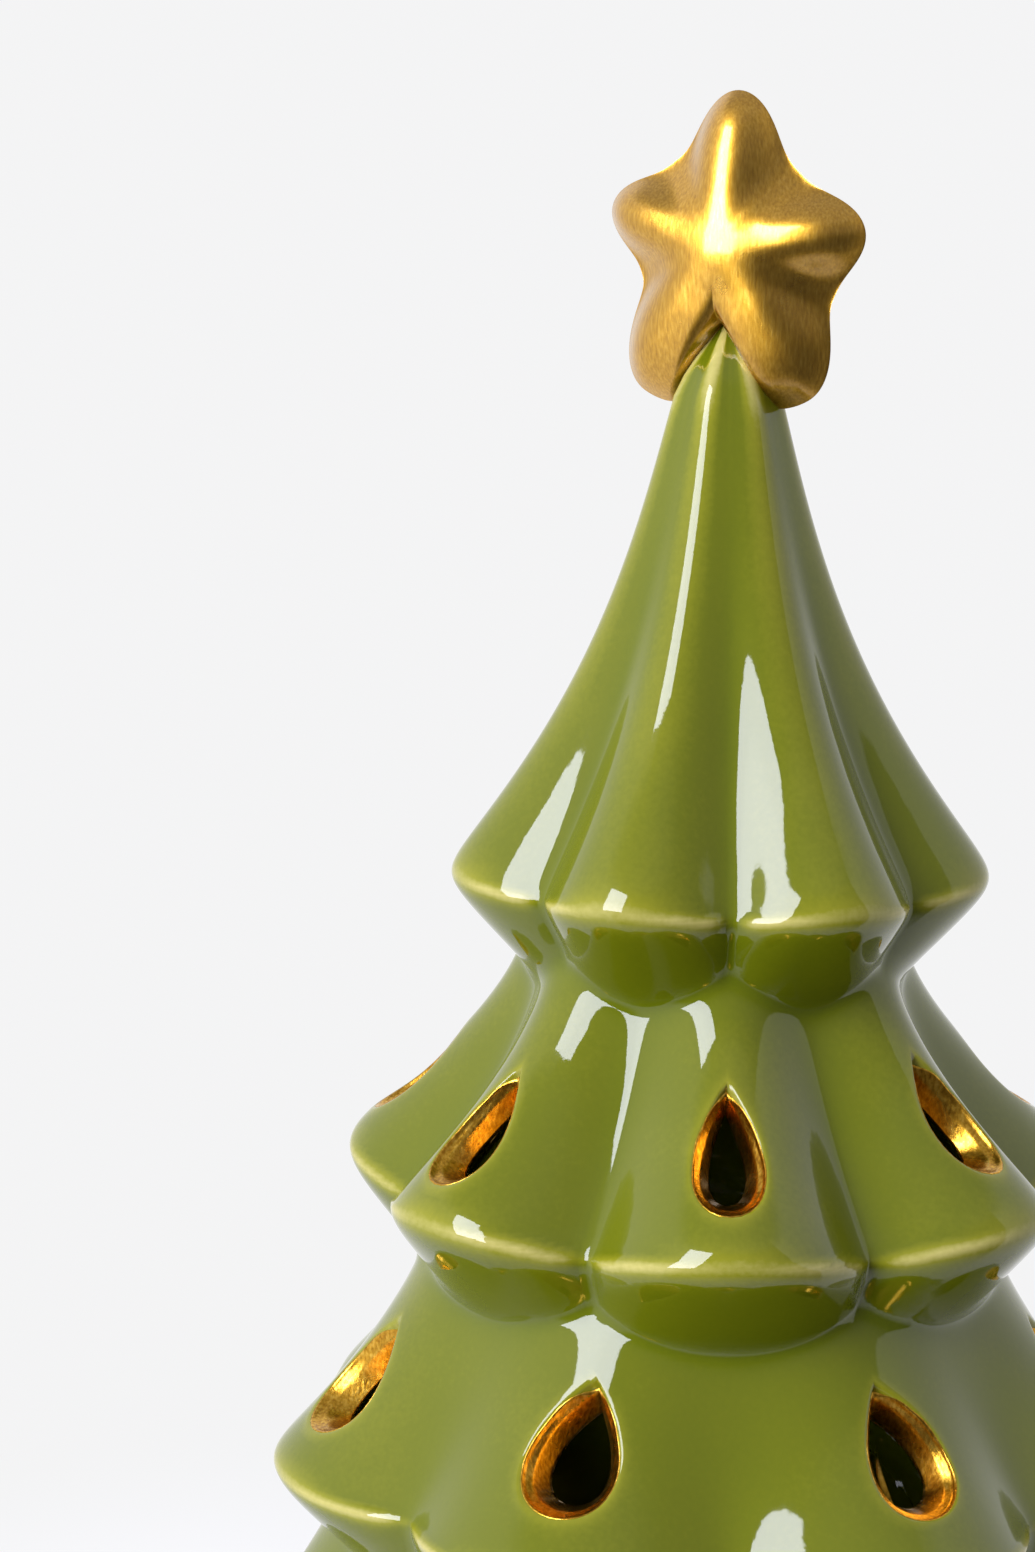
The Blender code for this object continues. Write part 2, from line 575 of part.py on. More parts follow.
def build_tealight(tin, wax_finish, cotton):
    """The tealight on its seat: each piece keeps the clearance to the next."""
    inside = CUP_BOTTOM + CUP_WALL
    bore = CUP_RADIUS - CUP_WALL
    rim_top = CUP_BOTTOM + CUP_HEIGHT
    bead = 0.5 * CUP_RIM_BEAD + 0.5 * CUP_WALL
    cup = [(0.0, CUP_BOTTOM), (CUP_RADIUS - CUP_CORNER, CUP_BOTTOM),
           (CUP_RADIUS, CUP_BOTTOM + CUP_CORNER)]
    cup += arc_points((bore + bead, rim_top - bead), bead, CUP_BEAD_START, 180.0, 6)
    cup += [(bore, inside + CUP_WALL), (bore - CUP_WALL, inside), (0.0, inside)]
    add_mesh_object("tealight_cup", turned_mesh("tealight_cup", cup, 36, capped=True), tin)

    sheet_bottom = inside + CLEARANCE
    sheet_top = sheet_bottom + SUSTAINER_SHEET
    collar_top = sheet_top + SUSTAINER_COLLAR_HEIGHT
    collar_bore = WICK_RADIUS + CLEARANCE
    collar = collar_bore + SUSTAINER_COLLAR_WALL
    sustainer = [(0.0, sheet_bottom), (SUSTAINER_RADIUS, sheet_bottom),
                 (SUSTAINER_RADIUS, sheet_top), (collar, sheet_top), (collar, collar_top),
                 (collar_bore, collar_top), (collar_bore, sheet_top), (0.0, sheet_top)]
    add_mesh_object("wick_sustainer", turned_mesh("wick_sustainer", sustainer, 24, capped=True), tin.copy())

    wax_bottom = inside + CLEARANCE
    wax_top = wax_bottom + WAX_DEPTH
    wax_side = bore - CLEARANCE
    pocket = SUSTAINER_RADIUS + CLEARANCE
    pocket_top = sheet_top + CLEARANCE
    wick_hole = WICK_RADIUS + CLEARANCE
    collar_hole = collar + CLEARANCE
    wax = [(pocket, wax_bottom), (wax_side - CUP_CORNER, wax_bottom),
           (wax_side, wax_bottom + CUP_CORNER), (wax_side, wax_top - WAX_CORNER),
           (wax_side - WAX_CORNER, wax_top), (0.6 * wax_side, wax_top - WAX_DISH),
           (wick_hole + WAX_WELL, wax_top - WAX_DISH), (wick_hole, wax_top - 0.4 * WAX_DISH),
           (wick_hole, collar_top + CLEARANCE), (collar_hole, collar_top + CLEARANCE),
           (collar_hole, pocket_top), (pocket, pocket_top)]
    add_mesh_object("tealight_wax", turned_mesh("tealight_wax", wax, 36), wax_finish)

    wick_bottom = sheet_top + CLEARANCE
    wick_top = wax_top + WICK_SHOWING
    wick = [(0.0, wick_bottom), (WICK_RADIUS, wick_bottom), (WICK_RADIUS, wick_top - WICK_BEVEL),
            (WICK_RADIUS - WICK_BEVEL, wick_top), (0.0, wick_top)]
    add_mesh_object("wick", turned_mesh("wick", wick, 12, capped=True), cotton)


def build():
    """Makes every piece of the holder."""
    clear_scene()
    glaze = make_material("olive_glaze", (0.16, 0.22, 0.02), 0.06)
    saucer_glaze = make_material("saucer_glaze", (0.16, 0.22, 0.02), 0.08)
    gilding = make_material("satin_gilding", (0.80, 0.50, 0.12), 0.32, 1.0)
    felt = make_material("green_felt", (0.04, 0.07, 0.03), 0.95)
    tin = make_material("pressed_tin", (0.80, 0.80, 0.81), 0.28, 1.0)
    wax_finish = make_material("white_wax", (0.88, 0.86, 0.78), 0.45)
    cotton = make_material("wick_cotton", (0.80, 0.76, 0.66), 0.90)

    felt_profile = [(0.0, 0.0), (FELT_RADIUS, 0.0), (FELT_RADIUS, FELT_THICKNESS), (0.0, FELT_THICKNESS)]
    add_mesh_object("felt_disc", turned_mesh("felt_disc", felt_profile, ROUND_STEPS, capped=True), felt)
    add_mesh_object("base_dish", saucer_mesh(), saucer_glaze)
    build_tealight(tin, wax_finish, cotton)

    shell = add_mesh_object("tree_shell", tree_shell_mesh(), glaze)
    cut_away(shell, window_cutters())
    star = add_mesh_object("star_topper", star_mesh(), gilding)
    cut_away(star, spire_socket_cutter())


build()
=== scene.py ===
"""Looks of a glazed ceramic Christmas tree tealight holder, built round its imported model."""
import math

import bpy
import numpy as np
from mathutils import Matrix, Vector


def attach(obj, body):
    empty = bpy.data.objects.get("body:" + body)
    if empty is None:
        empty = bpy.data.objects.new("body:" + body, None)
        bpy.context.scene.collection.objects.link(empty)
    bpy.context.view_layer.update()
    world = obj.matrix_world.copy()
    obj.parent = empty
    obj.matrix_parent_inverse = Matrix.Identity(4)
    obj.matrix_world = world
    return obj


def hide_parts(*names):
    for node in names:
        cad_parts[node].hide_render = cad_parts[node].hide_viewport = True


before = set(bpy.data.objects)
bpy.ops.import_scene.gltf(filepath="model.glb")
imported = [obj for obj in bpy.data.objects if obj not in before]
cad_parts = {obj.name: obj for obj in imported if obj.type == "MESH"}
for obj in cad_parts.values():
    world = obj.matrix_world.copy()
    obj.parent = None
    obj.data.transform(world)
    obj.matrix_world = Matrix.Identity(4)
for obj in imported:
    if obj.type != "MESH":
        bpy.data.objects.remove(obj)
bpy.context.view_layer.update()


# The felt disc is pressed wool, glued into the recess under the saucer.
# It is cut by hand, so its edge wanders a little and loose fibres stand off it.
MM = 0.001
FELT_RADIUS = 45.9
FELT_TOP = 2.0
FELT_ROUNDING = 0.5
FELT_STEPS = 200


def add_object(name, data):
    """Object of this data, linked into the scene."""
    made = bpy.data.objects.new(name, data)
    bpy.context.collection.objects.link(made)
    return made


def add_mesh(name, points, faces, material, marks=None):
    """Mesh object from points in millimetres. Points that no face uses are left out.

    Marks are float attributes, one value for each point.
    """
    points = np.asarray(points, dtype=float).reshape(-1, 3)
    used = np.unique(np.concatenate([np.ravel(group) for group in faces]))
    place = np.full(len(points), -1)
    place[used] = np.arange(len(used))
    polygons = [row for group in faces for row in place[group].tolist()]
    mesh = bpy.data.meshes.new(name)
    mesh.from_pydata((points[used] * MM).tolist(), [], polygons)
    for mark, values in (marks or {}).items():
        layer = mesh.attributes.new(mark, "FLOAT", "POINT")
        layer.data.foreach_set("value", np.ravel(values)[used].astype(np.float32))
    mesh.materials.append(material)
    return add_object(name, mesh)


def add_piece(name, points, faces, material, body, slot, nodes=(), marks=None):
    """Smooth mesh object that rides on a body and stands for these nodes of the model."""
    piece = add_mesh(name, points, faces, material, marks)
    piece.data.shade_smooth()
    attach(piece, body)
    if nodes:
        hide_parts(*nodes)


def quads(lower, upper):
    """Faces from closed loops of points to the loops above them. They face away from the axis."""
    corners = lower, np.roll(lower, -1, axis=-1), np.roll(upper, -1, axis=-1), upper
    return np.stack(corners, -1).reshape(-1, 4)


def fan(loop, pole):
    """Triangles from a closed loop of points to a single one."""
    return np.stack((loop, np.roll(loop, -1), np.full(len(loop), pole)), -1)


def around(steps):
    """Angles of even steps round +Z."""
    return np.arange(steps) * 2 * np.pi / steps


def spun(profile, steps, wobble=0.0):
    """Points of a (radius, height) profile turned round +Z, and their index, a row for each."""
    profile = np.asarray(profile, dtype=float)
    radii = np.repeat(profile[:, :1], steps, axis=1) + wobble
    heights = np.repeat(profile[:, 1:], steps, axis=1)
    points = np.stack((radii * np.sin(around(steps)), -radii * np.cos(around(steps)), heights), -1)
    return points.reshape(-1, 3), np.arange(len(profile) * steps).reshape(-1, steps)


def turned(profile, steps, wobble=0.0):
    """Surface of revolution: a profile that runs up the outside, from the axis to the axis.

    Its ends become poles. Wobble adds to the radius, one row for each inner profile point and one
    column for each step.
    """
    points, index = spun(profile[1:-1], steps, wobble)
    poles = [[0, 0, profile[0][1]], [0, 0, profile[-1][1]]]
    faces = [quads(index[:-1], index[1:]), fan(index[0][::-1], index.size),
             fan(index[-1], index.size + 1)]
    return np.concatenate((points, poles)), faces


def arc(centre, radius, start, end, count):
    """Points of an arc in the (radius, height) plane, angles in degrees from +radius."""
    angles = np.radians(np.linspace(start, end, count))
    return [(centre[0] + radius * math.cos(a), centre[1] + radius * math.sin(a)) for a in angles]


def line(start, end, count):
    """Points from start up to, but without, end."""
    return [tuple(p) for p in np.linspace(start, end, count, endpoint=False)]


def fill(socket, value):
    """Gives a socket a plain value, or links another node's output to it."""
    if isinstance(value, bpy.types.NodeSocket):
        socket.id_data.links.new(value, socket)
    else:
        socket.default_value = value


def feed(node, **inputs):
    """Fills the sockets that the keys name. Other keys set properties of the node."""
    for key, value in inputs.items():
        name = key.replace("_", " ")
        if name in node.inputs:
            fill(node.inputs[name], value)
        else:
            setattr(node, key, value)
    return node


def put(nodes, kind, **inputs):
    """Adds a node and feeds it."""
    return feed(nodes.new(kind), **inputs)


def maths(nodes, operation, *terms):
    """Output of a Math node on numbers or other nodes' outputs."""
    node = put(nodes, "ShaderNodeMath", operation=operation)
    for socket, term in zip(node.inputs, terms):
        fill(socket, term)
    return node.outputs["Value"]


def new_material(name, **values):
    """Material with these values on its Principled shader. Returns it, its nodes, the shader."""
    material = bpy.data.materials.new(name)
    material.use_nodes = True
    nodes = material.node_tree.nodes
    return material, nodes, feed(nodes["Principled BSDF"], **values)


def ramp(nodes, source, stops):
    """Colour ramp through (position, colour) stops, driven by an output."""
    node = put(nodes, "ShaderNodeValToRGB", Fac=source)
    points = node.color_ramp.elements
    while len(points) < len(stops):
        points.new(0.5)
    for point, (position, colour) in zip(points, stops):
        point.position = position
        point.color = (*colour, 1.0)
    return node.outputs["Color"]


def new_group(name, inputs, outputs):
    """Node group with inputs (name, kind, value) and number outputs.

    Returns it, its nodes, and the sockets of its input and output nodes.
    """
    group = bpy.data.node_groups.new(name, "ShaderNodeTree")
    for socket, kind, value in inputs:
        made = group.interface.new_socket(socket, in_out="INPUT", socket_type="NodeSocket" + kind)
        made.default_value = value
    for socket in outputs:
        group.interface.new_socket(socket, in_out="OUTPUT", socket_type="NodeSocketFloat")
    nodes = group.nodes
    return group, nodes, nodes.new("NodeGroupInput").outputs, nodes.new("NodeGroupOutput").inputs


# Node group: noise on Object coordinates, stretched and turned. Its Height is centred on zero
surface_noise, nodes, given, result = new_group(
    "surface_noise", [("Scale", "Float", 500.0), ("Detail", "Float", 2.0),
                      ("Stretch", "Vector", (1, 1, 1)), ("Turn", "Vector", (0, 0, 0))],
    ["Value", "Height"])
where = put(nodes, "ShaderNodeMapping", Scale=given["Stretch"], Rotation=given["Turn"],
            Vector=nodes.new("ShaderNodeTexCoord").outputs["Object"])
field = put(nodes, "ShaderNodeTexNoise", Vector=where.outputs["Vector"], Scale=given["Scale"],
            Detail=given["Detail"])
fill(result["Value"], field.outputs["Fac"])
fill(result["Height"], maths(nodes, "SUBTRACT", field.outputs["Fac"], 0.5))


def noise(nodes, scale, detail=2.0, stretch=(1, 1, 1), turn=(0, 0, 0)):
    """Places the noise group with its own values and returns its outputs."""
    return put(nodes, "ShaderNodeGroup", node_tree=surface_noise, Scale=scale, Detail=detail,
               Stretch=stretch, Turn=turn).outputs


def bumps(nodes, shader, layers):
    """Chains Bump nodes, given as (height output, distance in millimetres, strength)."""
    last = {}
    for height, distance, strength in layers:
        bump = put(nodes, "ShaderNodeBump", Strength=strength, Distance=distance * MM,
                   Height=height, **last)
        last = {"Normal": bump.outputs["Normal"]}
    feed(shader, **last)


felt, nodes, shader = new_material("green_felt", Roughness=0.95, Sheen_Weight=0.35,
                                   Sheen_Roughness=0.5)
fibres = noise(nodes, 900.0, 5.0, (1.0, 2.6, 1.0))
felt_colours = [(0.30, (0.020, 0.036, 0.014)), (0.52, (0.045, 0.075, 0.030)),
                (0.72, (0.090, 0.130, 0.060))]
feed(shader, Base_Color=ramp(nodes, fibres["Value"], felt_colours))
bumps(nodes, shader, [(fibres["Height"], 0.5, 0.7)])

felt_turn = around(FELT_STEPS)
felt_edge = (0.05 * np.sin(9 * felt_turn + 1.0) + 0.03 * np.sin(37 * felt_turn)
             + 0.02 * np.sin(71 * felt_turn + 2.0))
felt_flat = FELT_RADIUS - FELT_ROUNDING
felt_profile = (
    [(0, 0)] + line((6, 0), (felt_flat, 0), 7)
    + arc((felt_flat, FELT_ROUNDING), FELT_ROUNDING, -90, 0, 4)
    + arc((felt_flat, FELT_TOP - FELT_ROUNDING), FELT_ROUNDING, 0, 90, 4)
    + line((FELT_RADIUS - 4, FELT_TOP), (4, FELT_TOP), 6)
    + [(0, FELT_TOP)])
felt_wobble = np.where(np.array(felt_profile)[1:-1, :1] > FELT_RADIUS - 2, felt_edge, 0.0)
add_piece("felt_pad", *turned(felt_profile, FELT_STEPS, felt_wobble), felt, "base", "green_felt",
          ["felt_disc"])


# The saucer is jiggered stoneware under the same olive glaze as the tree. The tree's foot stands
# on its ledge, outside a raised ring, and the tealight stands in a ringed seat in its middle.
# The foot under the rim is wiped bare of glaze, so that it doesn't stick in the kiln.
CLEARANCE = 0.3
FLOOR = 7.0
LEDGE_EDGE = 54.0
RIM_WIDTH = 4.2
RING_RADIUS = 45.0
RING_WIDTH = 3.0
SEAT_RADIUS = 20.5
SEAT_HEIGHT = 5.8
SEAT_LIP = 3.4

GLAZE_POOL = (0.060, 0.079, 0.002)
GLAZE_DEEP = (0.089, 0.111, 0.002)
GLAZE_BODY = (0.120, 0.136, 0.003)
GLAZE_LIGHT = (0.216, 0.213, 0.010)
GLAZE_THIN = (0.490, 0.430, 0.135)
BARE_CLAY = (0.62, 0.55, 0.44)



def mapped(nodes, value, reach, goal=(0.0, 1.0), way="LINEAR"):
    """A value within its reach, brought to lie within the goal."""
    return put(nodes, "ShaderNodeMapRange", interpolation_type=way, Value=value, From_Min=reach[0],
               From_Max=reach[1], To_Min=goal[0], To_Max=goal[1]).outputs["Result"]


def mixed(nodes, share, first, second, kind="FLOAT"):
    """The first value where the share is 0, and the second where it is 1."""
    return put(nodes, "ShaderNodeMix", data_type=kind, Factor=share, A=first,
               B=second).outputs["Result"]


def glaze_material(name):
    """Glossy olive glaze, coloured by how thickly it lies.

    The first point attribute is 0.5 where the glaze has its even thickness, towards 0 where it
    pools in hollows and towards 1 where it breaks thin over edges. On the tree it is also lowered
    under the tiers, which paints shade there. Bare is 1 on wiped clay.
    """
    material, nodes, shader = new_material(name, IOR=1.5)
    film_and_shade = put(nodes, "ShaderNodeAttribute", attribute_name="film_and_shade").outputs["Fac"]
    bare = put(nodes, "ShaderNodeAttribute", attribute_name="bare").outputs["Fac"]
    cloud = maths(nodes, "MULTIPLY_ADD", noise(nodes, 55.0)["Height"], 0.16, film_and_shade)
    speck = maths(nodes, "MULTIPLY_ADD", noise(nodes, 1500.0, 3.0)["Height"], 0.10, cloud)
    colour = ramp(nodes, speck, [(0.05, GLAZE_POOL), (0.32, GLAZE_DEEP), (0.52, GLAZE_BODY),
                                 (0.72, GLAZE_LIGHT), (0.95, GLAZE_THIN)])
    feed(shader, Base_Color=mixed(nodes, bare, colour, (*BARE_CLAY, 1.0), "RGBA"),
         Roughness=mapped(nodes, bare, (0.0, 1.0), (0.045, 0.75)))
    ripple, peel = noise(nodes, 210.0), noise(nodes, 1300.0)
    bumps(nodes, shader, [(ripple["Height"], 0.05, 0.55), (peel["Height"], 0.006, 0.55)])
    return material


rim_radius = LEDGE_EDGE + RIM_WIDTH
bead = 0.31 * RIM_WIDTH
rim_top = FLOOR + 1.6
ring_bead = 0.5 * RING_WIDTH
ring_middle = RING_RADIUS - ring_bead
ring_top = FLOOR + 3.6
lip_middle = SEAT_RADIUS + 0.5 * SEAT_LIP
lip_top = FLOOR + 1.5
saucer_profile = (
    [(0, 2.3)] + line((5, 2.3), (46.3, 2.3), 6)
    + [(46.3, 2.2), (46.3, 1.6), (46.4, 1.2)] + arc((46.8, 1.5), 0.5, 200, 270, 4)
    + line((47.3, 1.0), (50.4, 1.0), 3) + arc((50.6, 1.7), 0.7, 270, 320, 4)
    + line((52.0, 1.9), (rim_radius - 1.2, FLOOR - 2.2), 6)
    + arc((rim_radius - bead, rim_top - bead), bead, -40, 150, 16)
    + arc((LEDGE_EDGE + 0.5, FLOOR + 0.5), 0.5, 225, 270, 3)
    + line((LEDGE_EDGE - 0.4, FLOOR), (RING_RADIUS + 0.5, FLOOR), 4)
    + arc((RING_RADIUS + 0.4, FLOOR + 0.4), 0.4, 270, 180, 4)
    + arc((ring_middle, ring_top - ring_bead), ring_bead, 0, 180, 14)
    + arc((RING_RADIUS - RING_WIDTH - 0.6, FLOOR + 0.6), 0.6, 0, -90, 4)
    + line((RING_RADIUS - RING_WIDTH - 1.5, FLOOR),
           (SEAT_RADIUS + SEAT_LIP + 0.3, FLOOR), 10)
    + arc((lip_middle, FLOOR - 0.2), 1.75, 8, 172, 12)
    + [(SEAT_RADIUS + 0.05, FLOOR - 0.2)]
    + arc((SEAT_RADIUS - 0.4, SEAT_HEIGHT + 0.4), 0.4, 0, -90, 4)
    + line((SEAT_RADIUS - 1.2, SEAT_HEIGHT), (3, SEAT_HEIGHT), 5)
    + [(0, SEAT_HEIGHT)])
saucer_points, saucer_faces = turned(saucer_profile, 220)
dish_radius = np.hypot(saucer_points[:, 0], saucer_points[:, 1])
dish_height = saucer_points[:, 2]


def crown(value, middle, width):
    """Bell that is 1 at the middle and falls off over the width."""
    return np.exp(-((value - middle) / width) ** 2)


dish_above = dish_height > FLOOR - 0.5
saucer_film = 0.47 + dish_above * (
    0.48 * crown(dish_radius, rim_radius - bead, 1.0) * crown(dish_height, rim_top, 0.8)
    + 0.42 * crown(dish_radius, ring_middle, 0.9) * crown(dish_height, ring_top, 0.8)
    + 0.36 * crown(dish_radius, lip_middle, 0.8) * crown(dish_height, lip_top, 0.6)
    - 0.20 * crown(dish_radius, RING_RADIUS - RING_WIDTH - 1.0, 1.6)
    - 0.18 * crown(dish_radius, SEAT_RADIUS + SEAT_LIP + 1.0, 1.4))
saucer_bare = np.clip((2.1 - dish_height) / 0.5, 0, 1)
add_piece("saucer", saucer_points, saucer_faces, glaze_material("saucer_glaze"), "base",
          "saucer_glaze", ["base_dish"], {"film_and_shade": saucer_film, "bare": saucer_bare})


# The tealight's cup is pressed from thin aluminium sheet with a rolled rim.
# The draw leaves fine lines up its side and a stepped bottom.
CUP_RADIUS = 19.0
CUP_BOTTOM = 6.1
CUP_HEIGHT = 15.0
CUP_WALL = 0.6

tin, nodes, shader = new_material("pressed_tin", Metallic=1.0)
draw = noise(nodes, 300.0, 2.0, (4.0, 4.0, 0.15))
dull = noise(nodes, 120.0, 3.0)
feed(shader, Roughness=mapped(nodes, draw["Value"], (0.0, 1.0), (0.16, 0.40)),
     Base_Color=ramp(nodes, dull["Value"], [(0.3, (0.72, 0.72, 0.73)), (0.7, (0.88, 0.88, 0.88))]))
bumps(nodes, shader, [(draw["Height"], 0.05, 0.5)])

cup_top = CUP_BOTTOM + CUP_HEIGHT
cup_bore = CUP_RADIUS - CUP_WALL
cup_inside = CUP_BOTTOM + CUP_WALL
cup_bead = 0.65
cup_profile = (
    [(0, CUP_BOTTOM + 0.25), (12.0, CUP_BOTTOM + 0.25), (12.6, CUP_BOTTOM + 0.2),
     (13.2, CUP_BOTTOM)] + line((14, CUP_BOTTOM), (CUP_RADIUS - 1.2, CUP_BOTTOM), 3)
    + arc((CUP_RADIUS - 1.1, CUP_BOTTOM + 1.1), 1.1, -90, 0, 6)
    + line((CUP_RADIUS, CUP_BOTTOM + 1.6), (CUP_RADIUS, cup_top - 1.6), 8)
    + arc((cup_bore + cup_bead, cup_top - cup_bead), cup_bead, -62, 180, 14)
    + line((cup_bore, cup_top - 1.2), (cup_bore, cup_inside + 1.0), 8)
    + arc((cup_bore - 0.8, cup_inside + 0.8), 0.8, 0, -90, 5)
    + line((cup_bore - 1.6, cup_inside), (3, cup_inside), 4) + [(0, cup_inside)])
add_piece("tealight_tin", *turned(cup_profile, 144), tin, "tealight", "pressed_tin",
          ["tealight_cup"])


# The sustainer is a stamped tin disc whose collar is crimped round the wick.
# It stands on the cup's floor, sunk in the wax.
STAND_RADIUS = 7.5
STAND_LOW = cup_inside + CLEARANCE

collar_bore = 1.1
collar = 1.6
sheet_top = STAND_LOW + 0.5
collar_top = sheet_top + 3.2
sustainer_profile = (
    [(0, STAND_LOW), (4, STAND_LOW)]
    + arc((STAND_RADIUS - 0.25, STAND_LOW + 0.25), 0.25, -90, 90, 8)
    + line((6, sheet_top), (collar + 0.4, sheet_top), 4)
    + arc((collar + 0.3, sheet_top + 0.3), 0.3, 270, 180, 4)
    + line((collar, sheet_top + 0.6), (collar, collar_top - 0.2), 5)
    + arc((0.5 * (collar + collar_bore), collar_top - 0.25), 0.25, 0, 180, 6)
    + line((collar_bore, collar_top - 0.6), (collar_bore, sheet_top + 0.1), 5)
    + [(0.6, sheet_top), (0, sheet_top)])
crimp = np.where((np.array(sustainer_profile)[1:-1, 1:] > sheet_top + 0.8)
                 & (np.array(sustainer_profile)[1:-1, :1] > 1.3),
                 -0.12 * np.clip(np.cos(4 * around(48)), 0, 1) ** 4, 0.0)
add_piece("wick_holder", *turned(sustainer_profile, 48, crimp), tin.copy(), "tealight",
          "sustainer_tin", ["wick_sustainer"])


# The wax is poured round the sustainer and shrinks as it sets, so its top dishes in the middle.
# Its skin is waxy, off-white and faintly mottled.
wax, nodes, shader = new_material("white_wax", Roughness=0.42, Subsurface_Weight=0.25,
                                  Subsurface_Scale=0.004, Coat_Weight=0.15)
bloom, pores = noise(nodes, 160.0, 3.0), noise(nodes, 900.0, 3.0)
wax_colours = [(0.3, (0.80, 0.78, 0.70)), (0.7, (0.90, 0.88, 0.82))]
feed(shader, Base_Color=ramp(nodes, bloom["Value"], wax_colours))
bumps(nodes, shader, [(bloom["Height"], 0.25, 0.4), (pores["Height"], 0.05, 0.4)])

wax_bottom = STAND_LOW
wax_top = wax_bottom + 12.0
wax_side = cup_bore - CLEARANCE
pocket = STAND_RADIUS + CLEARANCE
pocket_top = sheet_top + CLEARANCE
collar_hole = collar + CLEARANCE
wax_ring = (
    line((pocket, wax_bottom), (wax_side - 1.0, wax_bottom), 6)
    + arc((wax_side - 1.0, wax_bottom + 1.0), 1.0, -90, 0, 5)
    + line((wax_side, wax_bottom + 1.6), (wax_side, wax_top - 0.6), 6)
    + arc((wax_side - 0.5, wax_top - 0.5), 0.5, 0, 80, 5)
    + [(wax_side - 1.6, wax_top - 0.10), (14.5, wax_top - 0.26), (12.0, wax_top - 0.44),
       (9.0, wax_top - 0.56), (6.0, wax_top - 0.60), (3.6, wax_top - 0.56),
       (2.4, wax_top - 0.44), (1.6, wax_top - 0.26), (1.2, wax_top - 0.26),
       (1.1, wax_top - 0.36)]
    + line((1.1, wax_top - 0.8), (1.1, collar_top + CLEARANCE), 4)
    + [(1.1, collar_top + CLEARANCE), (collar_hole, collar_top + CLEARANCE)]
    + line((collar_hole, collar_top), (collar_hole, pocket_top), 4)
    + line((collar_hole, pocket_top), (pocket, pocket_top), 4)
    + [(pocket, pocket_top), (pocket, pocket_top - 0.5)])


wax_points, wax_index = spun(wax_ring, 144)
add_piece("tealight_candle", wax_points, [quads(wax_index, np.roll(wax_index, -1, axis=0))],
          wax, "tealight", "white_wax", ["tealight_wax"])


# The wick is braided cotton, stiffened with wax, and stands straight out of the candle.
# Three strands cross round it, and its cut end is slightly rounded.
cotton, nodes, shader = new_material("wick_cotton", Roughness=0.8, Sheen_Weight=0.3)
strands = noise(nodes, 2600.0, 3.0, (1.0, 1.0, 0.4), (0.4, 0.3, 0.0))
wick_colours = [(0.3, (0.60, 0.56, 0.46)), (0.7, (0.84, 0.81, 0.72))]
feed(shader, Base_Color=ramp(nodes, strands["Value"], wick_colours))
bumps(nodes, shader, [(strands["Height"], 0.12, 0.7)])

wick_low = sheet_top + CLEARANCE
wick_high = wax_top + 7.0
wick_profile = (
    [(0, wick_low)] + line((0.7, wick_low), (0.7, wick_high - 0.35), 90)
    + [(0.66, wick_high - 0.3), (0.5, wick_high - 0.08), (0.3, wick_high - 0.02),
       (0, wick_high)])
wick_side, wick_rise = np.hsplit(np.array(wick_profile)[1:-1], 2)
braid = np.maximum(np.sin(3 * around(32) + 2.4 * wick_rise),
                   np.sin(3 * around(32) - 2.4 * wick_rise))
braid = 0.07 * braid * (wick_side > 0.45)
add_piece("cotton_wick", *turned(wick_profile, 32, braid), cotton, "tealight", "wick_cotton",
          ["wick"])


# The tree is slip-cast in one piece with its wall about 4 mm thick: four tiers of seven lobes.
# Tiers one and three have a lobe at the front, two and four lie half a lobe round. The glaze
# pools in the grooves and breaks thin over the crests. Heights are above the tree's own foot.
TREE_FOOT = 7.3
LOBES = 7
LOBE_STEP = 2 * math.pi / LOBES
WALL = 4.2
FOOT_WIDTH = 5.0
FOOT_BORE = 45.8
FOOT_ROUNDING = 0.8
SPIRE_TOP = 179.0
SPIRE_DOME = 9.3
CAVITY_TOP = 158.0
CAVITY_DOME = 12.0
WAIST_ROUNDING = 1.7
NOTCH_ROUNDING = 2.2
NOTCH_SOFTNESS = 0.05
FLUTE_SOFTNESS = 1.2
FLUTE_FADE = 0.28
CREST_SHARPNESS = 0.85
FLUTE_SHARPNESS = 1.15
HIDDEN_CLOSING = 0.6
